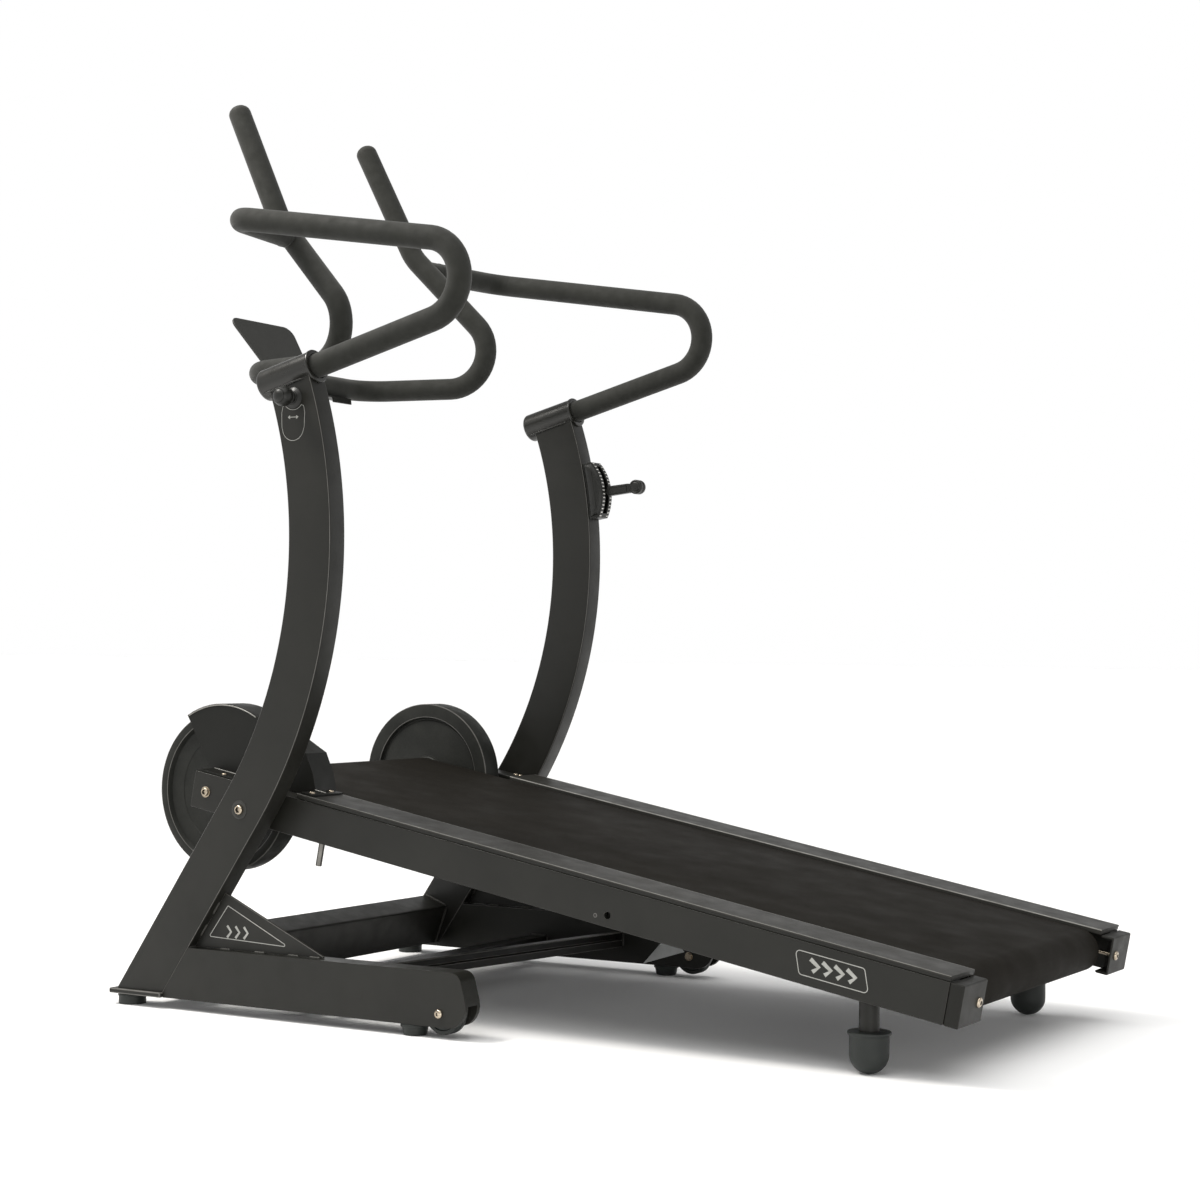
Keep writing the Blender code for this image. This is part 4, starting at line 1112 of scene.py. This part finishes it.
def make_resistance_control():
    """Domed cheeks, rim ticks and a ribbed grip on the lever's housing."""
    pin = middle("lever_pin")
    arc_center = Vector(at(0.0, *ARC_CENTER).yz)
    center = Vector(pin.yz)
    out = (center - arc_center).normalized()
    base = atan2(out.y, out.x)
    back_radius = ARC_RADIUS + UPRIGHT_HALF_DEPTH + 0.0004

    def outline(inset):
        half = asin((DIAL_HALF_CHORD - inset) / DIAL_RADIUS)
        rim = arc(center, DIAL_RADIUS - inset, base + half, base - half, 40)
        spread = (DIAL_HALF_CHORD - inset) / back_radius
        back = arc(arc_center, back_radius + inset, base - spread, base + spread, 12)
        return rim + back

    housing_low, housing_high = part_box("dial_housing")
    for name, face, sign in (("left", housing_low.x, -1.0), ("right", housing_high.x, 1.0)):

        def cheek(work, face=face, sign=sign):
            layers = [
                (0.0010, -0.0006), (0.0012, 0.0003), (0.0030, 0.0006), (0.0036, 0.0016),
                (0.0056, 0.0030), (0.0090, 0.0043), (0.0135, 0.0052), (0.0185, 0.0057),
            ]
            rings = [
                [Vector((face + sign * rise, y, z)) for y, z in outline(inset)]
                for inset, rise in layers
            ]
            loft(work, rings)

        piece("dial_cheek_" + name, cheek, "frame", [GLOSS], crease=50)

    def ticks(work):
        count = 16
        half_width = 0.00115
        half = asin((DIAL_HALF_CHORD - 0.003) / DIAL_RADIUS)
        middle_x = (housing_low.x + housing_high.x) / 2
        for side in (-1, 1):
            inner_x = middle_x + side * 0.0088
            outer_x = middle_x + side * 0.0152
            for k in range(count):
                angle = base - half + 2 * half * k / (count - 1)
                radial = Vector((cos(angle), sin(angle)))
                tangent = Vector((-radial.y, radial.x))
                corners = []
                for x, way in ((inner_x, -1), (outer_x, -1), (outer_x, 1), (inner_x, 1)):
                    spot = center + radial * (DIAL_RADIUS + 0.00015) + tangent * way * half_width
                    corners.append(work.verts.new(Vector((x, *spot))))
                work.faces.new(corners)

    piece("dial_ticks", ticks, "frame", [WHITE_INK])

    grip = mirrored(
        (
            (0.0, 0.0105), (0.0070, 0.0105), (0.0084, 0.0100), (0.0092, 0.0093),
            (0.0100, 0.0099), (0.0112, 0.0099), (0.0127, 0.0089), (0.0132, 0.0071),
            (0.0132, 0.0020), (0.0126, 0.0008),
        )
    )
    place = Matrix.Translation(middle("lever_knob")) @ TO_SIDE
    turned(
        "lever_knob_grip", grip, place, 72, "resistance_lever", GLOSS,
        ["lever_knob"], 50,
    )

    def ribs(work):
        lever = Matrix.Translation(pin) @ Matrix.Rotation(-LEVER_TILT, 4, "X")
        outline = ((-0.1010, -0.0062), (-0.1370, -0.0058), (-0.1370, 0.0058), (-0.1010, 0.0062))
        for side in (-1, 1):
            points = [lever @ Vector((side * 0.0056, u, v)) for u, v in outline]
            pipe(work, divided([*points, points[0]], 0.004), 0.0008, sides=10)

    piece("lever_side_ribs", ribs, "resistance_lever", [GLOSS])


# ---- welds, small fittings, decals


def make_welds():
    """Beads where the frame's tubes and plates meet."""
    inner = UPRIGHT_INNER - 0.0005
    bar = Vector((-0.065, 0.069))
    turn = Matrix.Rotation(radians(20.5), 2)
    signs = ((-1, -1), (1, -1), (1, 1), (-1, 1))
    corners = [bar + turn @ Vector((a * 0.027, b * 0.039)) for a, b in signs]

    def build(work):
        def run(x, start, end, radius, seed=0.0):
            bead(work, at(x, *start), at(x, *end), radius, seed)

        for side in (-1, 1):
            x = side * inner
            for k in range(4):
                start, end = corners[k], corners[(k + 1) % 4]
                run(x, start.lerp(end, 0.04), start.lerp(end, 0.96), 0.0024, k + side)
            for y in (-0.294, -0.330):
                run(x, (y, 0.028), (y, 0.053), 0.0022, y * 40)
            run(x, (-0.328, 0.0552), (-0.296, 0.0552), 0.0022)
            brace_y = (-0.360, -0.485)[side > 0]
            for y in (brace_y - 0.0095, brace_y + 0.0095):
                run(x, (y, 0.048), (y, 0.072), 0.0019, (y - brace_y) * 99)
        for _, sign in SIDES:
            for x in (BASE_X * sign - 0.0032, BASE_X * sign + 0.0032):
                for y in (-0.192, -0.262, -0.330, -0.372):
                    run(x, (y, 0.1026), (y - 0.021, 0.1026), 0.0022, y * 70)
                for z in (0.121, 0.158):
                    run(x, upright_rear(z), upright_rear(z + 0.020), 0.0021, z * 50)
            ends = (BASE_X * sign - 0.018, BASE_X * sign + 0.018)
            bead(work, *(at(x, *upright_rear(0.1028)) for x in ends), 0.0023, sign)

    piece("frame_welds", build, "frame", [WELD], crease=60)


def upright_rear(height):
    """A point (y, z) on the rear face of the upright's straight foot."""
    start = ARC_START + FOOT_REAR * UPRIGHT_HALF_DEPTH
    return tuple(start + FOOT_DOWN * ((start.y - height) / -FOOT_DOWN.y))


def make_small_fittings():
    bracket_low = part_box("console_bracket")[0].z
    bar_y = INNER_HANDLE_POINTS[3][1]

    def bracket_wings(work):
        """The bracket's sheet carried on under the crossbar to each side, with a turned-down lip."""
        top = bracket_low + 0.0028
        rear = bar_y - 0.0215
        front = bar_y + 0.0140
        section = (
            (front, top), (rear + 0.0022, top), (rear, top - 0.0016), (rear - 0.0012, top - 0.0105),
            (rear + 0.0014, top - 0.0110), (rear + 0.0028, top - 0.0030), (front, top - 0.0026),
        )
        reach = ((0.0460, 1.0), (0.1000, 1.0), (0.1050, 0.82), (0.1072, 0.45))
        for sign in (-1, 1):
            rings = [
                [
                    at(x * sign, bar_y + (y - bar_y) * share, top + (z - top) * share)
                    for y, z in section
                ]
                for x, share in reach
            ]
            loft(work, rings)

    def bracket_screws(work):
        for x in (-0.086, -0.018, 0.018, 0.086):
            seat = basis(at(x, bar_y - 0.006, bracket_low - 0.0001), (0, 0, -1))
            button_head(work, seat, 0.0042, 0.0030, 0.0018, 0.0014)

    def foot_collars(work):
        groove = (
            (0.0004, -0.0050), (0.0010, -0.0042), (0.0010, -0.0014), (0.0004, -0.0004),
            (-0.0030, -0.0003),
        )
        for side, _ in SIDES:
            for end in ("front", "rear"):
                low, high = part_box(f"{side}_{end}_foot")
                radius = (high.x - low.x) / 2
                seat = Matrix.Translation((*((low + high) / 2).xy, high.z))
                lathe(work, [(radius + out, height) for out, height in groove], seat, 48)

    def heel_plates(work):
        """Bare zinc plates in the mouths of the base rails, ahead of the wheels."""
        outline = ((-0.5370, 0.0190), (-0.5720, 0.0570), (-0.5980, 0.0700), (-0.6220, 0.0460))
        for _, sign in SIDES:
            place = side_view((UPRIGHT_INNER - 0.0003) * sign)
            slab(work, outline, place, -0.0006 * sign, 0.0003 * sign)

    piece("bracket_wings", bracket_wings, "frame", [IRON_COAT], bevel=0.0004)
    screw("bracket_screws", bracket_screws, "frame")
    piece("foot_collars", foot_collars, "frame", [RUBBER])
    piece("heel_plates", heel_plates, "frame", [ZINC])


def side_view(x):
    """A frame whose local X and Y are the world's Y and Z, at this place across."""
    return Matrix.Translation(at(x, 0, 0)) @ SIDE_PLANE


def make_decals():
    """Plain printed marks: chevrons on the gusset and the deck rail, an outline by the knob."""

    def gusset_mark(work):
        place = side_view(-(BASE_X + 0.0027))
        triangle = ((-0.2070, 0.1730), (-0.1690, 0.1215), (-0.3310, 0.1155))
        stroke(work, place, rounded(triangle, (0.002,) * 3, 4, True), 0.0013)
        for y in (-0.2060, -0.2230, -0.2400):
            stroke(work, place, ((y, 0.1410), (y - 0.0080, 0.1315), (y, 0.1220)), 0.0042, False)

    def knob_mark(work):
        place = side_view(-(UPRIGHT_OUTER + 0.0001))
        _, y, z = joint_place("lock_knob_slide") - DATUM
        top = z - 0.0195
        arch = arc((y, z + 0.0020), 0.0210, radians(-140), radians(-40), 14)
        bowl = arc((y, top - 0.0270), 0.0212, radians(-22), radians(-158), 18)
        outline = (
            (y - 0.0205, top + 0.0065), *arch, (y + 0.0205, top + 0.0065),
            (y + 0.0228, top - 0.0040), (y + 0.0222, top - 0.0260), *bowl,
            (y - 0.0222, top - 0.0260), (y - 0.0228, top - 0.0040),
        )
        stroke(work, place, outline, 0.0007)
        level = top - 0.0110
        stroke(work, place, ((y - 0.0080, level), (y + 0.0080, level)), 0.0011, False)
        for sign in (-1, 1):
            tip = y + sign * 0.0105
            heel = tip - sign * 0.0045
            head = ((tip, level), (heel, level + 0.0032), (heel, level - 0.0032))
            corners = [place @ Vector((*point, 0.0)) + LEFT * PAINT_LIFT for point in head]
            work.faces.new([work.verts.new(corner) for corner in corners])

    def rail_mark(work):
        place = DECK @ Matrix.Translation((-(RAIL_OUTER + 0.0003), 0, 0)) @ SIDE_PLANE
        center = -1.0290
        border = (
            (center - 0.0600, -0.0165), (center + 0.0480, -0.0165),
            (center + 0.0600, 0.0165), (center - 0.0480, 0.0165),
        )
        stroke(work, place, rounded(border, (0.0055,) * 4, 6, True), 0.0013)
        for k in range(4):
            y = center - 0.0330 + 0.0190 * k
            bar = ((y + 0.0045, -0.0085), (y - 0.0040, 0.0), (y + 0.0105, 0.0085))
            stroke(work, place, bar, 0.0062, False)

    piece("gusset_decal", gusset_mark, "frame", [INK])
    piece("knob_decal", knob_mark, "frame", [INK])
    piece("rail_badge", rail_mark, "deck", [INK])


# ---- stage, light and camera


def aimed(obj, direction):
    obj.rotation_euler = Vector(direction).to_track_quat("-Z", "Y").to_euler()


def area_light(name, place, aim, size, power, tint):
    data = bpy.data.lights.new(name, "AREA")
    data.shape = "RECTANGLE"
    data.size, data.size_y = size
    data.energy = power
    data.color = tint
    lamp = placed(name, data)
    lamp.location = place
    aimed(lamp, Vector(aim) - Vector(place))


def make_floor():
    look = Shades("pale_floor")
    white = look.blend(look.noise(0.6, 2.0), (0.96, 0.96, 0.96), (0.98, 0.98, 0.98))
    mesh = bpy.data.meshes.new("floor")
    work = bmesh.new()
    bmesh.ops.create_grid(work, x_segments=2, y_segments=2, size=80.0)
    work.to_mesh(mesh)
    work.free()
    mesh.materials.append(
        look.shade(Base_Color=white, Roughness=0.9, Specular_IOR_Level=0.1)
    )
    placed("floor", mesh)


def make_surround():
    """A white surround at eye level that falls off overhead."""
    world = bpy.data.worlds.new("studio")
    world.use_nodes = True
    tree = world.node_tree
    direction = tree.nodes.new("ShaderNodeTexCoord")
    split = tree.nodes.new("ShaderNodeSeparateXYZ")
    ramp = tree.nodes.new("ShaderNodeValToRGB")
    for element, (position, level) in zip(ramp.color_ramp.elements, ((0.29, 1.0), (0.52, 0.30))):
        element.position = position
        element.color = (level, level, level, 1.0)
    tree.links.new(direction.outputs["Generated"], split.inputs[0])
    tree.links.new(split.outputs["Z"], ramp.inputs["Fac"])
    tree.links.new(ramp.outputs["Color"], tree.nodes["Background"].inputs["Color"])
    bpy.context.scene.world = world


def make_lights():
    """One broad soft light above, a warm key at the front and a weak fill at the rear left."""
    sky = bpy.data.lights.new("overhead_light", "SUN")
    sky.energy = 2.2
    sky.angle = radians(75)
    sky.color = (1.0, 0.992, 0.975)
    aimed(placed("overhead_light", sky), (0.28, 0.10, -1.0))
    area_light(
        "key_softbox", (-1.15, 1.75, 3.1), (-0.35, 0.35, 0.9), (1.1, 0.6), 80.0, (1.0, 0.97, 0.92)
    )
    area_light(
        "fill_softbox", (-2.6, -2.9, 0.5), (0.1, 0.1, 0.35), (1.4, 0.8), 16.0, (1.0, 0.985, 0.95)
    )
    bpy.context.scene.view_settings.view_transform = "Standard"


def make_camera():
    ahead = Vector(CAMERA_AIM).normalized()
    right = ahead.cross(Vector((0, 0, 1))).normalized()
    up = right.cross(ahead)
    rolled_right = right * cos(CAMERA_ROLL) + up * sin(CAMERA_ROLL)
    rolled_up = up * cos(CAMERA_ROLL) - right * sin(CAMERA_ROLL)
    data = bpy.data.cameras.new("camera")
    data.lens = CAMERA_LENS
    data.sensor_width = 36.0
    camera = placed("camera", data)
    turn = Matrix((rolled_right, rolled_up, -ahead)).transposed().to_4x4()
    camera.matrix_world = Matrix.Translation(at(*CAMERA_PLACE)) @ turn
    bpy.context.scene.camera = camera


dress_carried_nodes()
make_uprights()
make_sleeves()
make_handlebars()
make_belt()
make_strips()
make_flywheels()
make_guard_lip()
make_transport_wheels()
make_ball_feet()
make_side_bolts()
make_deck_bolts()
make_lock_knob()
make_resistance_control()
make_welds()
make_small_fittings()
make_decals()
make_floor()
make_surround()
make_lights()
make_camera()
